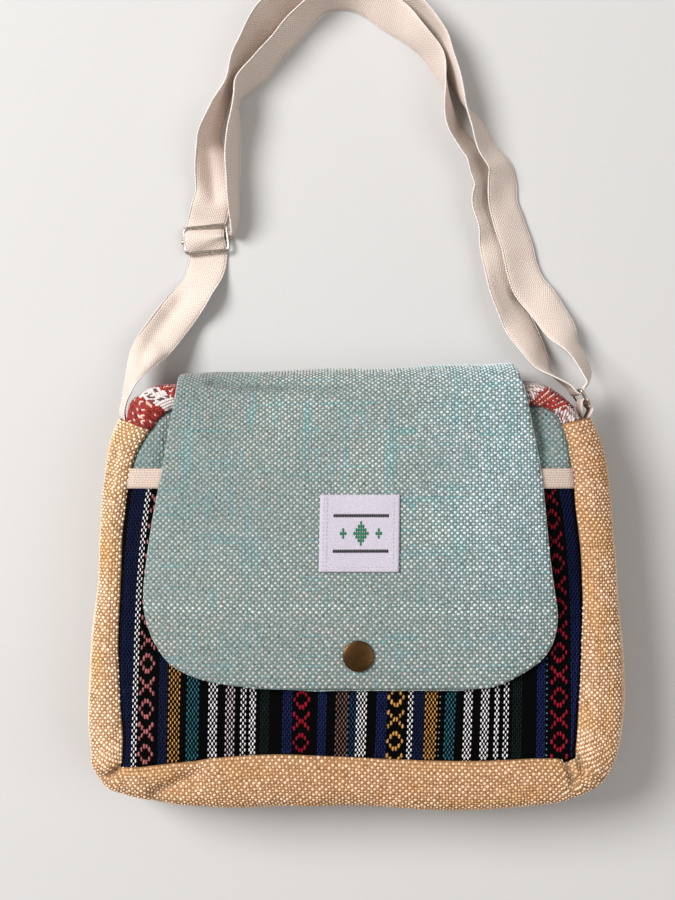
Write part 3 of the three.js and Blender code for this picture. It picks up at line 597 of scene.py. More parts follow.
def weave(name, slot, place, colors, crossings, rng, weft_float=WEFT_FLOAT):
    """Plain weave: a raised weft float where column and row are both even or both odd, else a warp float.
    place(a, b) gives point and normal on the cloth."""
    a, b, col, row = crossings
    a = a + rng.normal(0, JITTER, len(a))
    b = b + rng.normal(0, JITTER, len(b))
    points, normals = place(a, b)
    even = (col + row) % 2 == 0
    grow = rng.uniform(*GROWTH, (len(a), 1))
    made = []
    for label, chosen, way, shape, color in zip(
        ("weft", "warp"), (even, ~even), thread_ways(place, a, b, WEAVE_STEP),
        (weft_float, WARP_FLOAT), colors,
    ):
        spots = pick(chosen, points, normals, way, np.array(shape) * grow, color)
        made.append(keep(threads(f"{name}_{label}", *spots, hemp_thread), slot))
    return made


# Side wall: gusset and top band

WALL_LEAN = 0.026
OVERHANG = 1.5
CORNERS = ((-129, -96), (118, -93.5))
CORNER_REACH = 26.0
SEAM_FADE = 4.0
SWELL = {"size": 26, "height": 1.6}
FOLDS_ABOVE = 18.0
FOLDS_OVER = 16.0
# Share of painted shade in the gusset's sharp folds and the flap's creases, at their deepest
FOLD_PAINTED_SHADE = 0.5
END_STEP = 0.02
WALL_MARGIN = 0.8


def seam_at(rows):
    """Points of the front seam at fractional section numbers."""
    return through(SECTIONS[:, :2], rows, closed=True)


def edge_at(rows):
    """Points of the wall's outermost line at fractional section numbers."""
    return through(SECTIONS[:, 2:], rows, closed=True)


def even_rows(start, stop, count):
    """Section numbers that are evenly spaced by length along the middle of the side wall."""
    fine = np.linspace(start, stop, 1200)
    both = through(SECTIONS, fine, closed=True)
    return evenly((both[:, :2] + both[:, 2:]) / 2, fine, count)[0]


def side_wall(rows, steps, inset, sink):
    """Middle surface of the side wall for these sections: (sections, steps, 3).
    The wall leans in towards the front, and its roll hangs over the pocket along the bottom."""
    seam, edge = seam_at(rows), edge_at(rows)
    reach = np.linalg.norm(edge - seam, axis=1)
    out = (edge - seam) / reach[:, None]
    reach = reach - inset
    lean = WALL_LEAN * np.hypot(edge[:, 0] - CAMERA["x"], edge[:, 1] - CAMERA["y"])
    over = OVERHANG * ease(rows - BOTTOM_LEFT + 0.5) * ease(BOTTOM_RIGHT - rows)
    top = front_height(seam[:, 0], seam[:, 1]) - sink
    # Distance out from the seam and height, over the roll, down the wall and under the back
    profile = (
        (2.2, top - 1.6), (0.7 - over, top + 1.0 + 1.1 * over), (0.32 * reach, top + ROLL),
        (0.76 * reach - 0.3 * lean, top - 2.0), (reach - lean, 0.8 * top), (reach - 0.3 * lean, 0.5 * top),
        (0.95 * reach, 0.2 * top), (reach - BACK_TUCK, 1.5 + 0 * top),
    )
    points = np.stack([np.stack(np.broadcast_arrays(*point), -1) for point in profile], axis=1)
    at = through(points, np.linspace(0, len(profile) - 1, steps))
    return np.concatenate([seam[:, None] + out[:, None] * at[..., :1], at[..., 1:]], -1)


def finer_at_corners(rows):
    """Doubles the sections near the two bottom corners, where the folds are."""
    near = np.zeros(len(rows), bool)
    for corner in CORNERS:
        near |= np.hypot(*(seam_at(rows) - corner).T) < CORNER_REACH
    between = (rows[:-1] + rows[1:]) / 2
    return np.sort(np.concatenate([rows, between[near[:-1]]]))


def lengths_across(grid):
    hops = np.linalg.norm(np.diff(grid, axis=1), axis=2)
    return np.concatenate([np.zeros((len(grid), 1)), np.cumsum(hops, axis=1)], axis=1)


def wall_cloth(solid, slot, material, rows, steps, seed, dent_table, inset=0.0, sink=0.0):
    """Cloth of a stretch of side wall with its folds. Gives the piece, a function from lengths across and
    along it to the point and normal on its outer face, and its length and width at each section."""
    grid = side_wall(rows, steps, inset, sink)
    x, y, z = np.moveaxis(grid, -1, 0)
    swell = (patches(x + z, y, SWELL["size"], seed) - 0.5) * SWELL["height"]
    hold = np.sin(np.pi * np.linspace(0, 1, steps)) ** 0.5
    upper = ease((z - FOLDS_ABOVE) / FOLDS_OVER) * ease(lengths_across(grid) / SEAM_FADE)
    grid = grid + normals_of(grid, -1) * (swell * hold - dents(x, y, dent_table) * upper)[..., None]
    along, across = run_length(grid[:, steps // 2]), lengths_across(grid)
    uv = np.stack(np.broadcast_arrays(across, along[:, None]), -1)
    base = keep(cloth(f"{solid}_cloth", grid, HEMP / 2, -1, material, uv), slot, solid)
    normals = normals_of(grid, -1)
    face = grid + normals * HEMP / 2

    def place(a, b):
        i = np.interp(b, along, np.arange(len(along), dtype=float))
        nearest = np.clip(np.round(i).astype(int), 0, len(along) - 1)
        j = np.empty(len(a))
        for number in np.unique(nearest):
            chosen = nearest == number
            j[chosen] = np.interp(a[chosen], across[number], np.arange(steps, dtype=float))
        return sample(face, i, j), unit(sample(normals, i, j))
    return base, place, along, across[:, -1]


GUSSET_STEPS = (380, 46)
SIDE_PITCH = 0.86
TAN = {
    "weft": (243, 216, 184), "golden": (232, 188, 126), "warp": (194, 149, 107), "amber": (190, 130, 58),
    "brown": (120, 78, 46),
}

# Painted light and shade on the gusset's cloth round the bag: lighter up the left side, darker and warmer
# along the bottom and at the upper right, where less light falls. Columns: section, and share of red, green
# and blue
GUSSET_PAINTED_LIGHT = np.array([
    (0, 1.06, 1.10, 1.10), (5, 1.03, 1.07, 1.14), (9, 0.98, 0.96, 0.96), (14, 0.93, 0.86, 0.82),
    (18, 0.98, 0.95, 0.95), (22, 1.02, 1.00, 1.04), (26, 0.90, 0.83, 0.81),
])


def tan_colors(a, b, rng):
    """Cream weft and tan warp, with golden patches and a few brown threads."""
    weft = tint(TAN["weft"], 0.10, len(a), rng)
    weft = blotches(weft, TAN["golden"], 0.75, patches(a, b * 0.35, 7, 21), 2.2, 1)
    warp = tint(TAN["warp"], 0.16, len(a), rng)
    warp = blotches(warp, TAN["amber"], 1, patches(a * 0.5, b, 6, 22), 3, 1.65)
    return weft, flecks(warp, TAN["brown"], 0.7, 0.05, rng)


def make_gusset():
    """Tan hemp down the left side, along the bottom and up the right side, woven closer at the sides."""
    rng = np.random.default_rng(SEED)
    count, steps = GUSSET_STEPS
    rows = finer_at_corners(even_rows(TOP_LEFT + END_STEP, TOP_RIGHT - END_STEP, count))
    base, place, along, width = wall_cloth("gusset", "hemp_tan", tan_ground, rows, steps, 3, GUSSET_DENTS)
    levels = np.arange(WALL_MARGIN, along[-1] - 0.5, PITCH)
    a, b, col, row = lattice(WALL_MARGIN, width.max() / SIDE_PITCH, PITCH, levels)
    section = np.interp(b, along, rows)
    bottom = ease(section - BOTTOM_LEFT + 1) * ease(BOTTOM_RIGHT + 1 - section)
    a = a * (SIDE_PITCH + (1 - SIDE_PITCH) * bottom)
    a, b, col, row, section = pick(a < np.interp(b, along, width) - 0.6, a, b, col, row, section)
    x, y, _ = place(a, b)[0].T
    # Painted light and shade: the gusset's colours are lighter or darker by section round the bag, and darker
    # in its sharp folds
    depth = dents(x, y, GUSSET_DENTS[:SHARP_FOLDS]) / GUSSET_DENTS[0][5]
    shade = along_line(GUSSET_PAINTED_LIGHT[:, 1:], GUSSET_PAINTED_LIGHT[:, 0], section) * (1 - FOLD_PAINTED_SHADE * depth[:, None])
    colors = [color * shade for color in tan_colors(a, b, rng)]
    made = weave("gusset", "hemp_tan", place, colors, (a, b, col, row), rng, GUSSET_FLOAT)


BAND_STEPS = (150, 40)
BAND_PITCH = (1.6, 1.75)
BAND_FLOAT = (1.75, 0.86, 0.65)
DOT_SHARE = (0.42, 0.9)
DOT_ROWS = 2
SPECKLES = 0.16
BROCADE = {
    "red": (152, 40, 28), "white": (216, 204, 200), "pale": (220, 186, 172), "dark_red": (112, 20, 16),
    "grey": (146, 120, 112), "brown": (92, 66, 66),
}

# How far the band stays inside the wall line at its left and right end, and over how many sections
BAND_INSETS = ((4.4, 1.9), (5.0, 1.4))

# The band lies lower and further in under the flap
UNDER_FLAP_X = (-99.0, 85.5)
BAND_SINK = 4.0
BAND_SHRINK = 3.0
SINK_REACH = 14.0


def white_blocks(at_right, at_left):
    """Whether the brocade is white, by the lengths from its right and its left end."""
    white = np.floor(at_right / BLOCK_REPEAT) % 2 == 0
    for table, at in ((RIGHT_BLOCKS, at_right), (LEFT_BLOCKS, at_left)):
        start = 0
        for stop, color in table:
            white[(at >= start) & (at < stop)] = color == "white"
            start = stop
    return white


def brocade_colors(white, left_end, col, row, rng):
    """Red and white blocks: dots and speckles on the red, thin lines and dark specks on the white.
    Gives the colours, and which floats are dots."""
    count = len(white)
    red = tint(BROCADE["red"], 0.22, count, rng)
    colors = np.where(white[:, None], tint(BROCADE["white"], 0.08, count, rng), red)
    chance = rng.random(count)
    dotted = ~white & ~left_end & (row % DOT_ROWS == 1) & (chance < 0.8)
    pale = dotted | (~white & left_end & (chance < SPECKLES))
    colors[pale] = tint(BROCADE["pale"], 0.1, np.count_nonzero(pale), rng)
    colors[~white & (chance > 0.9)] = srgb(BROCADE["dark_red"])
    lined = white & ~left_end & ((col + row // 2) % 3 == 0)
    colors[lined] = tint(BROCADE["grey"], 0.15, np.count_nonzero(lined), rng)
    colors[white & left_end & (chance < SPECKLES)] = srgb(BROCADE["brown"])
    return colors, dotted


def make_top_band():
    """Red and white brocade over the top, whose yarns are left out under the flap."""
    rng = np.random.default_rng(SEED + 1)
    last = len(SECTIONS)
    count, steps = BAND_STEPS
    rows = even_rows(TOP_RIGHT + END_STEP, last - END_STEP, count)
    (left, over_left), (right, over_right) = BAND_INSETS
    inset = right * (1 - ease((rows - TOP_RIGHT) / over_right))
    inset += left * ease((rows - last + over_left) / over_left)
    x = seam_at(rows)[:, 0]
    covered = ease((x - UNDER_FLAP_X[0]) / SINK_REACH) * ease((UNDER_FLAP_X[1] - x) / SINK_REACH)
    base, place, along, width = wall_cloth(
        "top_band", "brocade", brocade_ground, rows, steps, 4, [],
        inset + BAND_SHRINK * covered, BAND_SINK * covered)
    levels = np.arange(WALL_MARGIN, along[-1], BAND_PITCH[1])
    a, b, col, row = lattice(WALL_MARGIN, width.max(), BAND_PITCH[0], levels)
    a, b, col, row = pick(a < np.interp(b, along, width) - WALL_MARGIN, a, b, col, row)
    x = place(a, b)[0][:, 0]
    a, b, col, row = pick((x < UNDER_FLAP_X[0]) | (x > UNDER_FLAP_X[1]), a, b, col, row)
    at_left = along[-1] - b + BLOCK_SLANT * (a - 10)
    white = white_blocks(b + 0.8 * np.sin(a), at_left)
    colors, dotted = brocade_colors(white, at_left < along[-1] / 2, col, row, rng)
    lean = np.where(white, 1.1, np.where(dotted, 0.1, np.where(row % 2 == 0, 0.6, -0.6)))[:, None]
    way_a, way_b = (unit(way) for way in thread_ways(place, a, b, 0.5))
    sizes = np.array(BAND_FLOAT) * rng.uniform(0.85, 1.15, (len(a), 1))
    sizes[dotted, :2] *= DOT_SHARE
    points, normals = place(a, b)
    yarn = threads("top_band_yarn", points, normals, way_a + way_b * lean, sizes, colors, brocade_thread)
    keep(yarn, "brocade")


# Front panel, pocket and tape

SEAM_RING = seam_at(np.linspace(0, len(SECTIONS), 900, endpoint=False))
SEAM_BATCH = 4000
EDGE_REACH = 3.0
EDGE_DIP = 1.5
SLOPE_STEP = 0.6
SIDE_STEPS = 400

# How far the cloths lie off the front, and their mesh: columns and rows
SKIN_LIFT = 0.0
POCKET_LIFT = 2.2
TAPE_LIFT = 3.55
FRONT_MESH = (90, 70)
POCKET_MESH = (120, 60)
TAPE_MESH = (140, 9)


def seam_side(start, stop, count):
    """Points at even lengths along the front seam between two sections."""
    fine = np.linspace(start, stop, 600)
    return seam_at(evenly(seam_at(fine), fine, count)[0])


def from_seam(x, y):
    """Distance of points from the front seam."""
    flat_x, flat_y = np.ravel(x), np.ravel(y)
    away = np.empty(len(flat_x))
    for start in range(0, len(flat_x), SEAM_BATCH):
        part = slice(start, start + SEAM_BATCH)
        gaps = np.hypot(flat_x[part, None] - SEAM_RING[:, 0], flat_y[part, None] - SEAM_RING[:, 1])
        away[part] = gaps.min(axis=1)
    return away.reshape(np.shape(x))


def inside_seam(x, y, margin):
    """Whether points lie inside the front seam by more than a margin."""
    crossings = np.zeros(len(x), int)
    for (ax, ay), (bx, by) in zip(SEAM_RING, np.roll(SEAM_RING, -1, axis=0)):
        over = (ay > y) != (by > y)
        cut = ax + (y - ay) / (by - ay + 1e-12) * (bx - ax)
        crossings += over & (x < cut)
    return (crossings % 2 == 1) & (from_seam(x, y) > margin)


def skin_height(x, y, lift, dent_table=()):
    """Height of a cloth that lies on the front and dips into the seam."""
    dip = EDGE_DIP * (1 - ease(from_seam(x, y) / EDGE_REACH))
    return front_height(x, y) + lift - dip - dents(x, y, dent_table)


def skin_place(lift, dent_table=()):
    """Function from a place in plan to the point and normal on such a cloth."""
    def height(x, y):
        return skin_height(x, y, lift, dent_table)

    def place(a, b):
        return np.stack([a, b, height(a, b)], -1), normal_to(height, a, b, SLOPE_STEP)
    return place


def front_grid(columns, rows, low, high):
    """Plan grid between the side seams, from the bottom seam or a level up to the mouth seam or a level."""
    bottom = seam_side(BOTTOM_LEFT, BOTTOM_RIGHT, columns)
    top = seam_side(len(SECTIONS), TOP_RIGHT, columns)
    left = seam_side(BOTTOM_LEFT, TOP_LEFT, SIDE_STEPS)
    right = seam_side(BOTTOM_RIGHT, TOP_RIGHT, SIDE_STEPS)
    u = np.linspace(0, 1, columns)[:, None, None]
    v = np.linspace(0, 1, SIDE_STEPS)[None, :, None]
    plan = ((1 - u) * left[None] + u * right[None] + (1 - v) * bottom[:, None] + v * top[:, None]
            - (1 - u) * (1 - v) * left[0] - u * (1 - v) * right[0]
            - (1 - u) * v * left[-1] - u * v * right[-1])
    made = np.empty((columns, rows, 2))
    for number, (x, level) in enumerate(np.moveaxis(plan, -1, 1)):
        first = level[0] if low is None else low
        final = level[-1] if high is None else high
        made[number, :, 1] = np.linspace(first, final, rows)
        made[number, :, 0] = np.interp(made[number, :, 1], level, x)
    return made


def skin(name, slot, solid, material, mesh, levels, lift, half, dent_table=(), uv_axes=(0, 1)):
    """Cloth that lies on the front between two levels, or the seam where a level is none."""
    plan = front_grid(*mesh, *levels)
    z = skin_height(plan[..., 0], plan[..., 1], lift, dent_table)
    grid = np.concatenate([plan, z[..., None]], -1)
    return keep(cloth(name, grid, half, 1, material, plan[..., list(uv_axes)]), slot, solid)


THREAD_RUN = 0.07
TEAL_TONE = np.array((1.05, 0.97, 0.965))
TEAL = {
    "weft": (186, 190, 185), "weft_right": (206, 221, 225),
    "weft_patch": (184, 208, 204), "straw": (204, 188, 176),
    "weft_run": (140, 194, 194), "weft_slub": (104, 186, 188),
    "pale": (228, 232, 226), "hem": (184, 194, 188),
    "warp": (112, 128, 125), "warp_right": (132, 162, 168),
    "warp_patch": (118, 122, 110), "dark": (66, 76, 72),
    "warp_run": (60, 146, 154), "warp_slub": (70, 160, 164), "hem_dark": (104, 124, 120),
}


def teal_colors(a, b, rng, dim, bluer):
    """Cream weft and teal warp of the hemp, bluer and lighter to the right, partly its own colour and partly
    painted light, with turquoise runs of single threads.
    dim is the share of its full tone at each crossing: painted shade, where the flap and the front are
    darker."""
    count = len(a)
    # Bluer and lighter towards the right: partly the hemp's own colour, partly painted light, the sheen on
    # the flap's right side
    right = bluer * ease((a + 10) / 110)
    weft = mix(tint(TEAL["weft"], 0.10, count, rng), srgb(TEAL["weft_right"]), 0.1 + 0.85 * right)
    weft = blotches(weft, TEAL["weft_patch"], 0.4, patches(a, b, 15, 31), 2, 0.8)
    weft = flecks(weft, TEAL["straw"], 0.6, 0.04, rng)
    warp = mix(tint(TEAL["warp"], 0.14, count, rng), srgb(TEAL["warp_right"]), 0.85 * right)
    warp = blotches(warp, TEAL["warp_patch"], 0.7 * (1 - 0.6 * right), patches(a, b, 24, 32), 2, 0.7)
    runs = np.maximum(patches(a, b * THREAD_RUN, PITCH, 33), patches(a * THREAD_RUN, b, PITCH, 34))
    warp = blotches(warp, TEAL["warp_run"], 0.9, runs, 4, 2.75)
    weft = blotches(weft, TEAL["weft_run"], 0.45 * 0.9, runs, 4, 2.75)
    slubs = patches(a, b, 2.6, 36) - 0.97
    weft = blotches(weft, TEAL["weft_slub"], 0.9, slubs, 60, 0)
    warp = blotches(warp, TEAL["warp_slub"], 0.9, slubs, 60, 0)
    warp = flecks(warp, TEAL["dark"], 0.6, 0.06, rng)
    # dim brings painted shade, and the patches make the tone vary at random
    shade = dim[:, None] * (0.86 + 0.28 * patches(a + 0.6 * b, b, 34, 35)[:, None]) * TEAL_TONE
    return weft * shade, warp * shade


FRONT_SPAN = (-132, 124)
FRONT_LEVELS = (POCKET_TOP - 4, 105)
FRONT_SEEN = (-88, 82)
# Painted shade: the front's seen corners are darker, as they lie in the flap's shadow
FRONT_PAINTED_SHADE = 0.77
FRONT_BLUER = 0.1


def make_front():
    """Teal hemp above the pocket, with threads where the flap leaves it seen."""
    rng = np.random.default_rng(SEED + 2)
    base = skin("front_cloth", "hemp_teal", "front_panel", teal_ground, FRONT_MESH, (None, None),
                SKIN_LIFT, HEMP / 2, FRONT_DENTS)
    a, b, col, row = lattice(*FRONT_SPAN, PITCH, np.arange(*FRONT_LEVELS, PITCH))
    shown = inside_seam(a, b, 0.8) & ((a < FRONT_SEEN[0]) | (a > FRONT_SEEN[1]))
    a, b, col, row = pick(shown, a, b, col, row)
    # Painted shade: the front's colours at a lower share
    colors = teal_colors(a, b, rng, np.full(len(a), FRONT_PAINTED_SHADE), FRONT_BLUER)
    place = skin_place(SKIN_LIFT + HEMP / 2, FRONT_DENTS)
    made = weave("front", "hemp_teal", place, colors, (a, b, col, row), rng)


POCKET_EDGES = (-138.0, 130.0)
POCKET_BOTTOM = -100
UNDER_FLAP = 14.0
LEAN = 0.028
LEAN_FADE = (50.0, 110.0)
TAPER_FROM = -20.0
TAPER_LEFT, TAPER_RIGHT = 0.00071, 0.00112
# Painted shade on the right stripes, darker towards the top under the flap's shadow: right of x, from a
# level, over a height, and the share taken off
STRIPE_PAINTED_SHADE = {"x": 95.0, "from": -50.0, "over": 60.0, "share": 0.45}
FIGURE_TURNS = range(-1, 13)
FIGURE_RISE = 0.15


def flap_outline(y):
    """Left and right edge of the flap's front at a level."""
    rows = [row for row in reversed(FLAP_ROWS) if row[1] is None]
    levels = [row[0] for row in rows]
    return [np.interp(y, levels, [row[k] for row in rows], left=0) for k in (2, 3)]


def seen_of_pocket(x, y):
    """Whether a point of the pocket lies outside the flap, or no further under its edge than UNDER_FLAP."""
    left, right = flap_outline(y - UNDER_FLAP)
    return (x < left + UNDER_FLAP) | (x > right - UNDER_FLAP) | (left == right)


def stripe_x(x, y):
    """Place of a warp thread at a level: it leans a little, and closes to the middle above TAPER_FROM."""
    lean = LEAN * np.clip((LEAN_FADE[1] - x) / (LEAN_FADE[1] - LEAN_FADE[0]), 0, 1)
    taper = np.where(x < 0, TAPER_LEFT, TAPER_RIGHT) * x / FRONT_HALF[0]
    return x + lean * (y - STRIPE_LEVEL) - taper * np.maximum(0, y - TAPER_FROM) ** 2


def warp_columns():
    """Warp threads across the pocket: place, colour name, whether dotted, and number in its stripe."""
    made = []
    edge, last = POCKET_EDGES
    for start, stop, name, *woven in [*STRIPES, (last, last, "black")]:
        dotted = "dotted" in woven
        ground = "black" if "figure" in woven else name
        for low, high, color in ((edge, start, "black"), (start, stop, ground)):
            count = 1 if dotted and color == name else round((high - low) / STRIPE_PITCH[0])
            made += [(low + (high - low) * (k + 0.5) / count, color, dotted, k) for k in range(count)]
        edge = stop
    return made


def painted_stripe_shade(x, y):
    """Share of a stripe's colour that is left: painted shade makes the right stripes darker towards the top,
    under the flap's shadow.
    """
    return (1 - STRIPE_PAINTED_SHADE["share"] * (x > STRIPE_PAINTED_SHADE["x"]) * ease((y - STRIPE_PAINTED_SHADE["from"]) / STRIPE_PAINTED_SHADE["over"]))[:, None]


def upwards(count, lean, spread, rng):
    """Directions up the pocket, each with a little lean."""
    return np.stack([rng.normal(lean, spread, count), np.ones(count), np.zeros(count)], -1)


def make_pocket():
    """Striped cotton with woven figures, with threads where the flap leaves it seen."""
    rng = np.random.default_rng(SEED + 3)
    base = skin("pocket_cloth", "stripe_cotton", "pocket_panel", stripe_ground, POCKET_MESH,
                (None, POCKET_TOP), POCKET_LIFT, COTTON / 2)
    across, names, dotted, number = zip(*warp_columns())
    levels = np.arange(POCKET_BOTTOM, POCKET_TOP - 0.6, STRIPE_PITCH[1])
    which, row = (numbers.ravel() for numbers in np.indices((len(names), len(levels))))
    y = levels[row]
    x = stripe_x(np.array(across)[which], y)
    shown = ((np.array(number)[which] + row) % 2 == 0) & inside_seam(x, y, 0.7) & seen_of_pocket(x, y)
    x, y, which = pick(shown, x, y, which)
    count = len(x)
    palette = np.array([srgb(YARNS[name]) for name in names])
    shapes = np.array([DOT_FLOAT if dot else SOLID_FLOAT if name in SOLID else STRIPE_FLOAT
                       for name, dot in zip(names, dotted)])
    # Stripe colours with painted shade on the right stripes towards the top
    colors = palette[which] * rng.uniform(0.82, 1.15, (count, 1)) * painted_stripe_shade(x, y)
    place = skin_place(POCKET_LIFT + COTTON / 2)
    points, normals = place(x + rng.normal(0, 0.04, count), y + rng.normal(0, 0.05, count))
    ways = upwards(count, 0.06, 0.06, rng)
    sizes = shapes[which] * rng.uniform(0.92, 1.08, (count, 1))
    warp = threads("pocket_warp", points, normals, ways, sizes, colors, stripe_thread)
    figures = make_figures(rng, place)
    for piece in (warp, figures):
        keep(piece, "stripe_cotton")


def mirrored(quarter):
    """Dashes of a whole figure from those of its upper right quarter."""
    return [(side * k, level) for k, rise in quarter
            for level in ((rise, -rise) if rise else (0,)) for side in (-1, 1)]


def make_figures(rng, place):
    """Rings and crosses woven in turn up each figure stripe."""
    spots, tones = [], []
    for start, stop, name, *woven in STRIPES:
        if "figure" not in woven:
            continue
        first, repeat = FIGURE_LEVELS[name]
        cell = (stop - start) / FIGURE_COLUMNS
        for turn in FIGURE_TURNS:
            level = first + turn * repeat / 2
            for k, rise in mirrored(RING_QUARTER if turn % 2 == 0 else CROSS_QUARTER):
                spots.append((stripe_x((start + stop) / 2 + k * cell, level + rise), level + rise))
                tones.append(srgb(YARNS[name]))
    x, y = np.array(spots).T
    shown = inside_seam(x, y, 1.0) & seen_of_pocket(x, y) & (y < POCKET_TOP - 1)
    x, y, colors = pick(shown, x, y, np.array(tones))
    points, normals = place(x, y)
    ways = upwards(len(x), 0.05, 0.08, rng)
    # Figure colours with painted shade on the right stripes towards the top
    colors = colors * rng.uniform(0.8, 1.15, (len(x), 1)) * painted_stripe_shade(x, y)
    sizes = np.array(FIGURE_FLOAT) * rng.uniform(0.88, 1.1, (len(x), 1))
    points = points + normals * FIGURE_RISE
    return threads("pocket_figures", points, normals, ways, sizes, colors, stripe_thread)


def make_tape():
    """Cream tape on the pocket's top edge, thinner at its two long edges."""
    share = np.linspace(-1, 1, TAPE_MESH[1])
    half = np.maximum(0.12, TAPE / 2 * np.sqrt(1 - share ** 6))[None, :]
    base = skin("tape_cloth", "webbing_cream", "pocket_tape", tape_cream, TAPE_MESH,
                (TAPE_BOTTOM, TAPE_TOP), TAPE_LIFT, half, uv_axes=(1, 0))


# Flap, label and snap

FLAP_COLUMNS, FLAP_STEPS = 110, 150
FLAP_SWELL = {"size": 34, "height": 2.0, "fade": 20}
EDGE_SETTLE = 1.1
SETTLE_REACH = 16.0
HEM = 1.6
HEM_PITCH = 1.7
HEM_FLOAT = (1.25, 0.55, 0.4)

# Lattice of the flap's threads: from x, to x and pitch, and the pitch of its rows at two lengths
FLAP_SPAN = (-119, 111, 1.7)
FLAP_PITCHES = {"from": 70, "first": 1.42, "last": 1.9}

# Shades of the flap: painted shade on its upper left, the greyer lower part and the pale row above the free
# edge
UPPER_FLAP_LENGTH = 150.0
LOW_REACH = 70.0
LOW_TONE = np.array((1.0, 0.92, 0.91))
PALE_ROW = 44.0
CREASE_ROWS = 3
CREASE_DEPTH = 2.6


def flap_surface():
    """Middle surface of the flap (columns, rows, 3), its length from the sewn edge at each row, and the share
    to which each row rides on the front."""
    y, left, right = (np.array([row[k] for row in FLAP_ROWS], float) for k in (0, 2, 3))
    rides = np.array([row[1] is None for row in FLAP_ROWS], float)
    riding = front_height((left + right) / 2, y) + FLAP_LIFT
    z = np.array([high if row[1] is None else row[1] for row, high in zip(FLAP_ROWS, riding)])
    fine = np.linspace(0, len(y) - 1, 900)
    rows, length = evenly(np.stack([column(y, fine), column(z, fine)], -1), fine, FLAP_STEPS)
    lift = np.clip(column(rides, rows), 0, 1)[None, :]
    u = np.linspace(0, 1, FLAP_COLUMNS)[:, None]
    low, high = column(left, rows)[None, :], column(right, rows)[None, :]
    x = low + (high - low) * u
    level = np.broadcast_to(column(y, rows)[None, :], x.shape)
    fall = front_height(x, level) - front_height((low + high) / 2 + 0 * x, level)
    grid = np.stack([x, level + FOLD_LEAN * x * (1 - lift), column(z, rows)[None, :] + fall * lift], -1)
    return grid, np.linspace(0, length, FLAP_STEPS), lift


def flap_edge(field):
    """Values of a field down the flap's left side, along its free edge and up its right side."""
    return np.concatenate([field[0], field[1:, -1], field[-1, ::-1]])


def edge_distance(grid):
    """Distance of each point of the flap's grid from its side and free edges."""
    edge = flap_edge(grid)
    return np.array([np.linalg.norm(line[:, None] - edge[None], axis=2).min(axis=1) for line in grid])


def settled_flap():
    """Flap's surface with its swell, folds and settled edges, half its thickness, its lengths and lift."""
    grid, length, lift = flap_surface()
    x, y, z = np.moveaxis(grid, -1, 0)
    away = edge_distance(grid)
    swell = (patches(x + 0.7 * y, y - z, FLAP_SWELL["size"], 41) - 0.5) * FLAP_SWELL["height"]
    settle = EDGE_SETTLE * (1 - ease(away / SETTLE_REACH)) * lift
    drop = settle + dents(x, y, FLAP_DENTS) * ease((z - 34) / 10)
    grid = grid + normals_of(grid, -1) * (swell * ease(away / FLAP_SWELL["fade"]) - drop)[..., None]
    grid[..., 2] = np.maximum(grid[..., 2], lift * (front_height(grid[..., 0], grid[..., 1]) + FLAP_CLEAR))
    half = FLAP_WALL / 2 * np.sqrt(np.clip(1 - (1 - np.minimum(1, away / HEM)) ** 2, 0.02, 1))
    return grid, half, length, lift


def flap_colors(a, b, points, last, rng):
    """Teal hemp with painted shade at the upper left and in the creases, greyer below, with one pale row."""
    # Painted shade: darker over the flap's upper left and in its creases
    dim = 1 - 0.26 * ease((-20 - a) / 60) * ease((UPPER_FLAP_LENGTH - b) / 40)
    dim = dim * (1 - FOLD_PAINTED_SHADE * dents(points[:, 0], points[:, 1], FLAP_DENTS[:CREASE_ROWS]) / CREASE_DEPTH)
    low = ease((b - UPPER_FLAP_LENGTH) / LOW_REACH)
    weft, warp = teal_colors(a, b, rng, dim * (1 - 0.05 * low), 1.15 - 0.75 * low)
    tone = 1 + (LOW_TONE - 1) * low[:, None]
    pale = 0.5 * np.exp(-((b - last + PALE_ROW) / 2.6) ** 2)
    return mix(weft * tone, srgb(TEAL["pale"]), pale), warp * tone


def flap_hem(grid, up, rng):
    """Turned edge: a line of threads that lies along the flap's sides and free edge."""
    line = flap_edge(grid)
    length = run_length(line)
    at = np.arange(HEM_PITCH, length[-1] - HEM_PITCH, HEM_PITCH)
    spots = along_line(line, length, at)
    tops = unit(along_line(flap_edge(up), length, at))
    colors = mix(tint(TEAL["hem"], 0.12, len(at), rng), srgb(TEAL["hem_dark"]), rng.random(len(at)))
    sizes = np.array(HEM_FLOAT) * rng.uniform(0.9, 1.1, (len(at), 1))
    return threads("flap_hem", spots, tops, np.gradient(spots, axis=0), sizes, colors, hemp_thread)


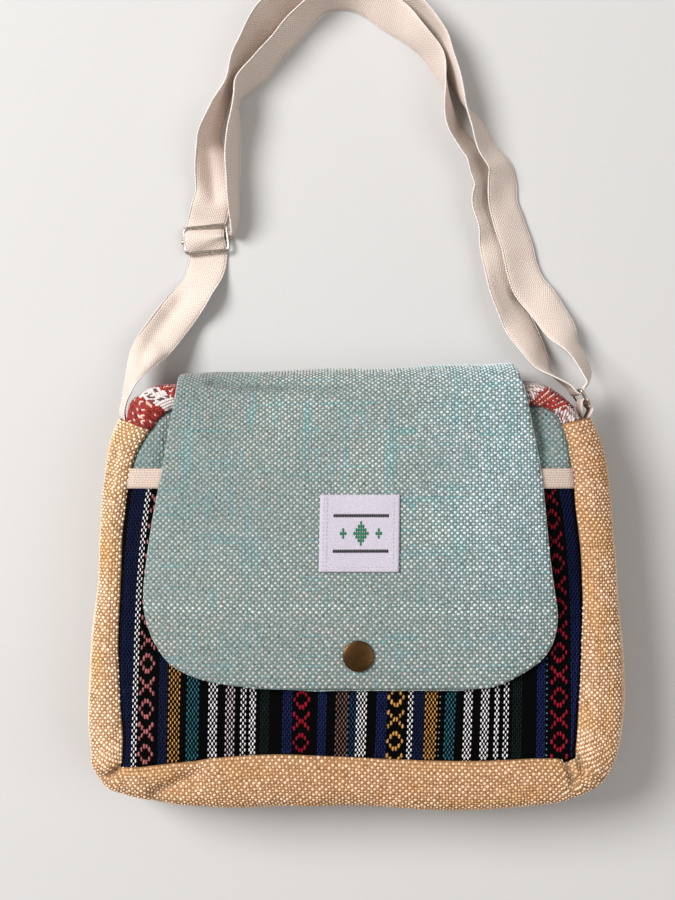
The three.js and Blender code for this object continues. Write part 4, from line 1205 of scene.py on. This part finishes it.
def make_flap():
    """Teal flap folded over the front. Gives the function for the height of its upper face."""
    rng = np.random.default_rng(SEED + 4)
    grid, half, length, lift = settled_flap()
    uv = np.stack(np.broadcast_arrays(grid[..., 0], length), -1)
    base = keep(cloth("flap_cloth", grid, half, -1, teal_ground, uv), "hemp_teal", "flap")
    up = normals_of(grid, -1)
    face = grid + up * half[..., None]
    sides = grid[[0, -1], :, 0].T
    steps = np.arange(FLAP_STEPS, dtype=float)

    def place(a, b):
        j = np.minimum(np.interp(b, length, steps), FLAP_STEPS - CELL_END)
        left, right = along_line(sides, steps, j).T
        i = (a - left) / (right - left) * (FLAP_COLUMNS - 1)
        return sample(face, i, j), unit(sample(up, i, j))

    span = (FLAP_PITCHES["from"], length[-1])
    levels = [1.0]
    while levels[-1] < length[-1]:
        levels.append(levels[-1] + np.interp(levels[-1], span, (FLAP_PITCHES["first"], FLAP_PITCHES["last"])))
    a, b, col, row = lattice(*FLAP_SPAN, np.array(levels))
    left, right = along_line(sides, length, b).T
    inside = (a > left + 0.3) & (a < right - 0.3) & (b < length[-1] - 0.4)
    a, b, col, row = pick(inside, a, b, col, row)
    colors = flap_colors(a, b, place(a, b)[0], length[-1], rng)
    made = weave("flap", "hemp_teal", place, colors, (a, b, col, row), rng)
    made.append(keep(flap_hem(grid, up, rng), "hemp_teal"))
    fold = int(np.argmax(lift[0] > 0.999))
    depths = -grid[FLAP_COLUMNS // 2, fold:, 1]

    def top(x, y):
        """Height of the flap's upper face at points of the front."""
        at = np.interp(-np.ravel(y), depths, length[fold:])
        return place(np.ravel(x), at)[0][:, 2].reshape(np.shape(x))
    return top


LABEL_STEPS = 44
LABEL_LIFT = 1.0
LABEL_SLANT = 0.02
LABEL_THREADS = {"g": (36, 112, 76), "k": (48, 46, 50)}
STITCH = (0.72, 0.28, 0.22)
STITCH_PITCH = 2.1
STITCH_COLOR = (160, 146, 152)


def label_stitches(at, rng):
    """Stitches: two lines down the folded left side, one down the right side, one along the bottom."""
    half_width, half_height = LABEL["width"] / 2, LABEL["height"] / 2
    left, right = LABEL["x"] - half_width, LABEL["x"] + half_width
    bottom, top = LABEL["y"] - half_height, LABEL["y"] + half_height
    spots = [(x, y) for x in (left + 2.2, left + 4.0, right - 3.0)
             for y in np.arange(bottom + 1.2, top - 1.2, STITCH_PITCH)]
    ways = [(0.25, 1, 0)] * len(spots)
    spots += [(x, bottom + 2.4) for x in np.arange(left + 5.5, right - 4.5, STITCH_PITCH)]
    ways += [(1, 0.2, 0)] * (len(spots) - len(ways))
    points, tops = at(*np.array(spots).T)
    colors = tint(STITCH_COLOR, 0.12, len(spots), rng)
    ways = np.array(ways, float)
    return threads("label_stitches", points, tops, ways, np.array(STITCH), colors, satin_thread)


def label_marks(at, rng):
    """Lozenges between two lines, woven into the label."""
    spots, tones = [], []
    cell_x, cell_y = LABEL_CELL
    wide, tall = len(LABEL_CHART[0]), len(LABEL_CHART)
    for line, marks in enumerate(LABEL_CHART):
        for k, mark in enumerate(marks):
            if mark in LABEL_THREADS:
                spots.append((LABEL["x"] + 0.8 + (k - (wide - 1) / 2) * cell_x,
                              LABEL["y"] + ((tall - 1) / 2 - line) * cell_y))
                tones.append(srgb(LABEL_THREADS[mark]))
    points, tops = at(*np.array(spots).T)
    colors = np.array(tones) * rng.uniform(0.85, 1.15, (len(spots), 1))
    ways = np.broadcast_to(np.array([1.0, 0.0, 0.0]), points.shape)
    points = points + tops * MARK_RISE
    return threads("label_marks", points, tops, ways, np.array(MARK_FLOAT), colors, satin_thread)


def make_label(top_of_flap):
    """Woven label: its left side is folded, and it is stitched down on three sides."""
    rng = np.random.default_rng(SEED + 5)
    u = np.linspace(-0.5, 0.5, LABEL_STEPS)
    x, y = np.meshgrid(LABEL["x"] + LABEL["width"] * u, LABEL["y"] + LABEL["height"] * u, indexing="ij")
    x = x + LABEL_SLANT * (y - LABEL["y"])
    ripple = 0.35 * (patches(x, y, 11, 51) - 0.5)
    fold = 0.25 * np.exp(-((x - x.min() - 3) / 1.6) ** 2)
    grid = np.stack([x, y, top_of_flap(x, y) + LABEL_LIFT + ripple + fold], -1)
    base = cloth("label_cloth", grid, LABEL["wall"] / 2, 1, label_ground, grid[..., :2])
    keep(base, "label_white", "label")
    normals = normals_of(grid, 1)
    face = grid + normals * LABEL["wall"] / 2

    def at(px, py):
        """Points and normals on the label's face."""
        i = ((px - LABEL["x"]) / LABEL["width"] + 0.5) * (LABEL_STEPS - 1)
        j = ((py - LABEL["y"]) / LABEL["height"] + 0.5) * (LABEL_STEPS - 1)
        return sample(face, i, j), unit(sample(normals, i, j))

    stitches = keep(label_stitches(at, rng), "label_white")
    marks = keep(label_marks(at, rng), "label_white")


def lathe(name, profile, sides, place, axis, material):
    """Turned piece: profile of radius and height about an axis through a place."""
    axis = unit(np.asarray(axis, float))
    side = unit(np.cross(axis, (0.3, 1.0, 0.2)))
    turn = np.linspace(0, 2 * np.pi, sides, endpoint=False)[:, None]
    around = np.cos(turn) * side + np.sin(turn) * np.cross(axis, side)
    rings = [place + around * radius + axis * height for radius, height in profile[1:-1]]
    ends = [[place + axis * profile[k][1]] for k in (0, -1)]
    points = np.concatenate([ends[0], *rings, ends[1]])
    last = len(points) - 1

    def number(ring, k):
        return 1 + ring * sides + k % sides

    faces = []
    for k in range(sides):
        faces.append((0, number(0, k + 1), number(0, k)))
        faces += [(number(ring, k), number(ring, k + 1), number(ring + 1, k + 1), number(ring + 1, k))
                  for ring in range(len(rings) - 1)]
        faces.append((number(len(rings) - 1, k), number(len(rings) - 1, k + 1), last))
    return new_object(name, points, faces, material)


SNAP_SIDES = 72
SNAP_GAP = 0.25
STUD_DROP = 0.9
STUD_SIDES = 48
STUD_PROFILE = [(0, 0), (5.2, 0), (5.5, 0.2), (5.5, 0.4), (5.2, 0.55), (0, 0.55)]


def rolled(radius, middle, out, rise, last):
    """Profile of a rolled edge that stands out from a radius, about a middle height."""
    turns = np.linspace(0.3, last, 8)
    return [(radius + out * math.sin(turn), middle - rise * math.cos(turn)) for turn in turns]


def make_snap(top_of_flap):
    """Low domed cap with a rolled rim, and the plain stud that it holds under the flap."""
    x, y, radius, height = (SNAP[key] for key in ("x", "y", "radius", "height"))
    up = normal_to(front_height, x, y, 4.0)
    seat = np.array([x, y, float(top_of_flap(x, y))]) + up * SNAP_GAP
    rim = rolled(radius - 0.5, 0.75, 0.5, 0.75, 2.6)
    crown = [(radius * share, height - 0.85 * share ** 2.2) for share in np.linspace(0.9, 0.08, 10)]
    bead = rolled(radius - 0.45, 0.95, 0.4, 0.4, 2.84)
    cap = lathe("snap_cap_brass", [(0, 0), *rim, *crown, (0, height)], SNAP_SIDES, seat, up, antique_brass)
    keep(cap, "antique_brass", "snap_cap")
    # Rim bead in lighter brass: a painted highlight round the cap's rim
    highlight_ring = lathe("snap_rim_brass", [(0, 0.6), *bead, (0, 1.2)], SNAP_SIDES, seat, up, rim_highlight_brass)
    keep(highlight_ring, "antique_brass")
    under = seat - up * (FLAP_WALL + SNAP_GAP + STUD_DROP)
    stud = lathe("snap_stud_brass", STUD_PROFILE, STUD_SIDES, under, up, antique_brass)
    keep(stud, "antique_brass", "snap_stud")


# Strap, tab and their metal

WRINKLE = 2.6
WRINKLE_SIZE = 15.0
SMOOTH_REACH = (14, 20)
FLOOR_GAP = 0.1
SELVAGE_PITCH = 1.5
SELVAGE_FLOAT = (1.0, 0.6, 0.3)
SELVAGE_COLOR = (238, 228, 220)
WRAP_STEPS = 4
UPRIGHT = -90


def place_of(metal):
    return np.array([metal["x"], metal["y"], metal["z"]])


def away_from_metal(line):
    """Share of a strap's wrinkles that is left near the ring and the slider."""
    share = np.ones(len(line))
    for metal in (RING, SLIDER):
        gap = np.linalg.norm(line - place_of(metal), axis=1)
        share = share * ease((gap - SMOOTH_REACH[0]) / SMOOTH_REACH[1])
    return share


def webbing(name, rows, width, step, cells):
    """Closed cloth of cream webbing along a table of rows, with round selvages; its grid and length."""
    table = np.array([(*row, 1)[:5] for row in rows], float)
    fine = np.linspace(0, len(table) - 1, 6000)
    line = through(table[:, :3], fine)
    count = int(run_length(line)[-1] / step)
    places, length = evenly(line, fine, count)
    line = through(table[:, :3], places)
    heading = unit(np.gradient(line, axis=0) * (1, 1, 0))
    lean = np.radians(column(table[:, 3], places))
    across = np.stack([heading[:, 1] * np.cos(lean), -heading[:, 0] * np.cos(lean), np.sin(lean)], -1)
    share = np.linspace(-0.5, 0.5, cells)
    wide = column(table[:, 4], places) * width
    grid = line[:, None] + across[:, None] * (wide[:, None] * share)[..., None]
    uv = np.stack(np.broadcast_arrays(share * width, np.linspace(0, length, count)[:, None]), -1)
    uneven = patches(uv[..., 1], uv[..., 0], WRINKLE_SIZE, 61) - 0.5
    wrinkle = WRINKLE * away_from_metal(line)[:, None] * uneven
    grid = grid + normals_of(grid, -1) * wrinkle[..., None]
    grid[..., 2] -= dents(grid[..., 0], grid[..., 1], STRAP_HOLLOWS)
    grid[..., 2] = np.maximum(grid[..., 2], WEBBING / 2 + FLOOR_GAP)
    half = np.maximum(0.1, WEBBING / 2 * np.sqrt(1 - (2 * share) ** 8))
    return cloth(name, grid, half, -1, webbing_cream, uv), grid, length


def selvage(name, grid, rng):
    """Line of short threads along both edges of a webbing's grid."""
    spots, tops, ways = [], [], []
    for edge, inner in ((grid[:, 0], grid[:, 1]), (grid[:, -1], grid[:, -2])):
        length = run_length(edge)
        at = np.arange(SELVAGE_PITCH, length[-1] - SELVAGE_PITCH, SELVAGE_PITCH)
        spots.append(along_line(edge, length, at))
        tops.append(unit(along_line(edge - inner, length, at)))
        ways.append(np.gradient(spots[-1], axis=0))
    spots, tops, ways = (np.concatenate(parts) for parts in (spots, tops, ways))
    colors = tint(SELVAGE_COLOR, 0.08, len(spots), rng)
    return threads(name, spots, tops, ways, np.array(SELVAGE_FLOAT), colors, hemp_thread)


def ring_bar(side):
    """Plan place of one long side of the ring: the strap's at -1, the tab's at 1."""
    turn = math.radians(RING["turn"])
    out = np.array([math.cos(turn), math.sin(turn)]) * RING["width"] / 2
    return place_of(RING)[:2] + side * out


def wrap_rows(bar, start):
    """Rows of a half turn of webbing round a bar of the ring."""
    angles = [start - math.pi * k / WRAP_STEPS for k in range(WRAP_STEPS + 1)]
    return [(bar[0] + WRAP * math.cos(turn), bar[1] + WRAP * math.sin(turn), RING["z"], UPRIGHT)
            for turn in angles]


def make_strap():
    """One length of webbing from the left end of the seam, through the slider to the ring and back."""
    loop = wrap_rows(ring_bar(-1), math.radians(RING["turn"] + 90))
    rows = [*STRAP_OUT, *loop, *STRAP_BACK]
    strap, grid, length = webbing("strap_webbing", rows, STRAP_WIDTH, **STRAP_MESH)
    keep(strap, "webbing_cream", "strap")
    edges = keep(selvage("strap_selvage", grid, np.random.default_rng(SEED + 6)), "webbing_cream")


def make_tab():
    """Folded webbing round the ring, with both ends sewn into the seam."""
    left, right = ([(x, y, RING["z"], UPRIGHT) for x, y in ends] for ends in (TAB_LEFT, TAB_RIGHT))
    rows = [*left, *wrap_rows(ring_bar(1), math.radians(TAB["heading"] + 90)), *right]
    tab, _, length = webbing("tab_webbing", rows, TAB["width"], TAB["step"], TAB["cells"])
    keep(tab, "webbing_cream", "strap_tab")


WIRE_SIDES = 14
BEND_STEPS = 8
BAR_SIDES = 20


def wire_loop(name, loop, upright=False):
    """Nickel wire bent to a closed rectangle with round corners, which lies flat or stands upright."""
    path, out = [], []
    straight = np.array([loop["width"] / 2, loop["height"] / 2]) - loop["corner"]
    for quarter, signs in enumerate(((1, 1), (-1, 1), (-1, -1), (1, -1))):
        for k in range(BEND_STEPS + 1):
            angle = math.pi / 2 * (quarter + k / BEND_STEPS)
            out.append((math.cos(angle), math.sin(angle), 0))
            path.append((*(straight * signs), 0) + loop["corner"] * np.array(out[-1]))
    path, out = np.array(path)[:, None], np.array(out)[:, None]
    turn = np.linspace(0, 2 * np.pi, WIRE_SIDES, endpoint=False)[None, :, None]
    points = (path + out * WIRE * np.cos(turn) + np.array([0, 0, 1]) * WIRE * np.sin(turn)).reshape(-1, 3)
    if upright:
        points = points[:, [0, 2, 1]] * (1, -1, 1)
    angle = math.radians(loop["turn"])
    spin = np.array([(math.cos(angle), -math.sin(angle), 0),
                     (math.sin(angle), math.cos(angle), 0), (0, 0, 1)])
    number = np.arange(len(points)).reshape(-1, WIRE_SIDES)
    after = np.roll(number, -1, axis=0)
    faces = np.stack([number, after, np.roll(after, -1, axis=1), np.roll(number, -1, axis=1)], -1)
    return new_object(name, points @ spin.T + place_of(loop), faces.reshape(-1, 4).tolist(), nickel)


def make_ring():
    keep(wire_loop("ring_wire", RING, upright=True), "nickel", "strap_ring")


def make_slider():
    """Wire frame, and the bar under the strap, with a round knob on each end."""
    keep(wire_loop("slider_wire", SLIDER), "nickel", "slider_frame")
    half, knob, radius = SLIDER_BAR["length"] / 2, SLIDER_BAR["knob"], SLIDER_BAR["radius"]
    end = [(0, 0), (0.5 * knob, 0.08), (0.85 * knob, 0.4), (knob, 1.0), (0.9 * knob, 1.6), (radius, 2.2)]
    profile = [(r, inset - half) for r, inset in end] + [(r, half - inset) for r, inset in reversed(end)]
    turn = math.radians(SLIDER["turn"])
    place = place_of(SLIDER) - (0, 0, SLIDER_BAR["drop"])
    bar = lathe("slider_bar_wire", profile, BAR_SIDES, place, (math.cos(turn), math.sin(turn), 0), nickel)
    keep(bar, "nickel", "slider_bar")


BACK_STEPS = 180
BACK_RINGS = np.linspace(1, 0.02, 12)
BACK_GAP = 1.4
BACK_LEVEL = 1.0
BACK_HALF = 0.9


def make_back():
    """Flat back that the bag lies on."""
    rows = np.linspace(0, len(SECTIONS), BACK_STEPS, endpoint=False)
    edge = edge_at(rows)
    outline = edge + unit(seam_at(rows) - edge) * (BACK_TUCK + BACK_GAP)
    center = outline.mean(axis=0)
    plan = center + (outline - center) * BACK_RINGS[:, None, None]
    plan = np.concatenate([plan, plan[:, :1]], axis=1)
    grid = np.concatenate([plan, np.full(plan.shape[:2] + (1,), BACK_LEVEL)], -1)
    base = keep(cloth("back_cloth", grid, BACK_HALF, 1, teal_ground, plan), "hemp_teal", "back_panel")


# Stage, light and camera

FLOOR_HALF = 9000.0
FLOOR_COLOR = (0.54, 0.53, 0.52, 1)
SKY = {"Color": (1.0, 0.95, 0.89, 1), "Strength": 0.34}

# Lamps, in metres and watts: name, place, size, power and colour
AIM = (0.0, 0.07, 0.03)
LAMPS = [
    ("key", (-1.64, 0.9, 1.88), 1.3, 92.0, (0.985, 0.99, 1.0)),
    ("fill", (1.54, -0.1, 2.2), 2.0, 20.0, (0.96, 0.98, 1.0)),
]


def make_stage():
    paper, _, surface = shader("floor_paper", roughness=0.9)
    surface["Base Color"].default_value = FLOOR_COLOR
    corners = [(x * FLOOR_HALF, y * FLOOR_HALF, 0) for x, y in ((-1, -1), (1, -1), (1, 1), (-1, 1))]
    new_object("floor", corners, [(0, 1, 2, 3)], paper)
    world = bpy.data.worlds.new("studio")
    bpy.context.scene.world = world
    world.use_nodes = True
    for key, value in SKY.items():
        world.node_tree.nodes["Background"].inputs[key].default_value = value


def make_light():
    for name, place, size, power, color in LAMPS:
        lamp = bpy.data.lights.new(name, "AREA")
        lamp.shape = "DISK"
        lamp.size = size
        lamp.energy = power
        lamp.color = color
        made = link(name, lamp)
        made.location = place
        made.rotation_euler = (Vector(AIM) - Vector(place)).to_track_quat("-Z", "Y").to_euler()


def make_camera():
    camera = bpy.data.cameras.new("camera")
    camera.sensor_width = SENSOR
    camera.lens = CAMERA["focal_px"] / PHOTO_HEIGHT * SENSOR
    made = link("camera", camera)
    made.location = [CAMERA[key] * MM for key in ("x", "y", "z")]
    bpy.context.scene.camera = made


bpy.context.scene.view_settings.view_transform = "Standard"
make_camera()
make_stage()
make_light()
make_strap()
make_tab()
make_ring()
make_slider()
make_back()
make_gusset()
make_top_band()
make_front()
make_pocket()
make_tape()
flap_top = make_flap()
make_label(flap_top)
make_snap(flap_top)
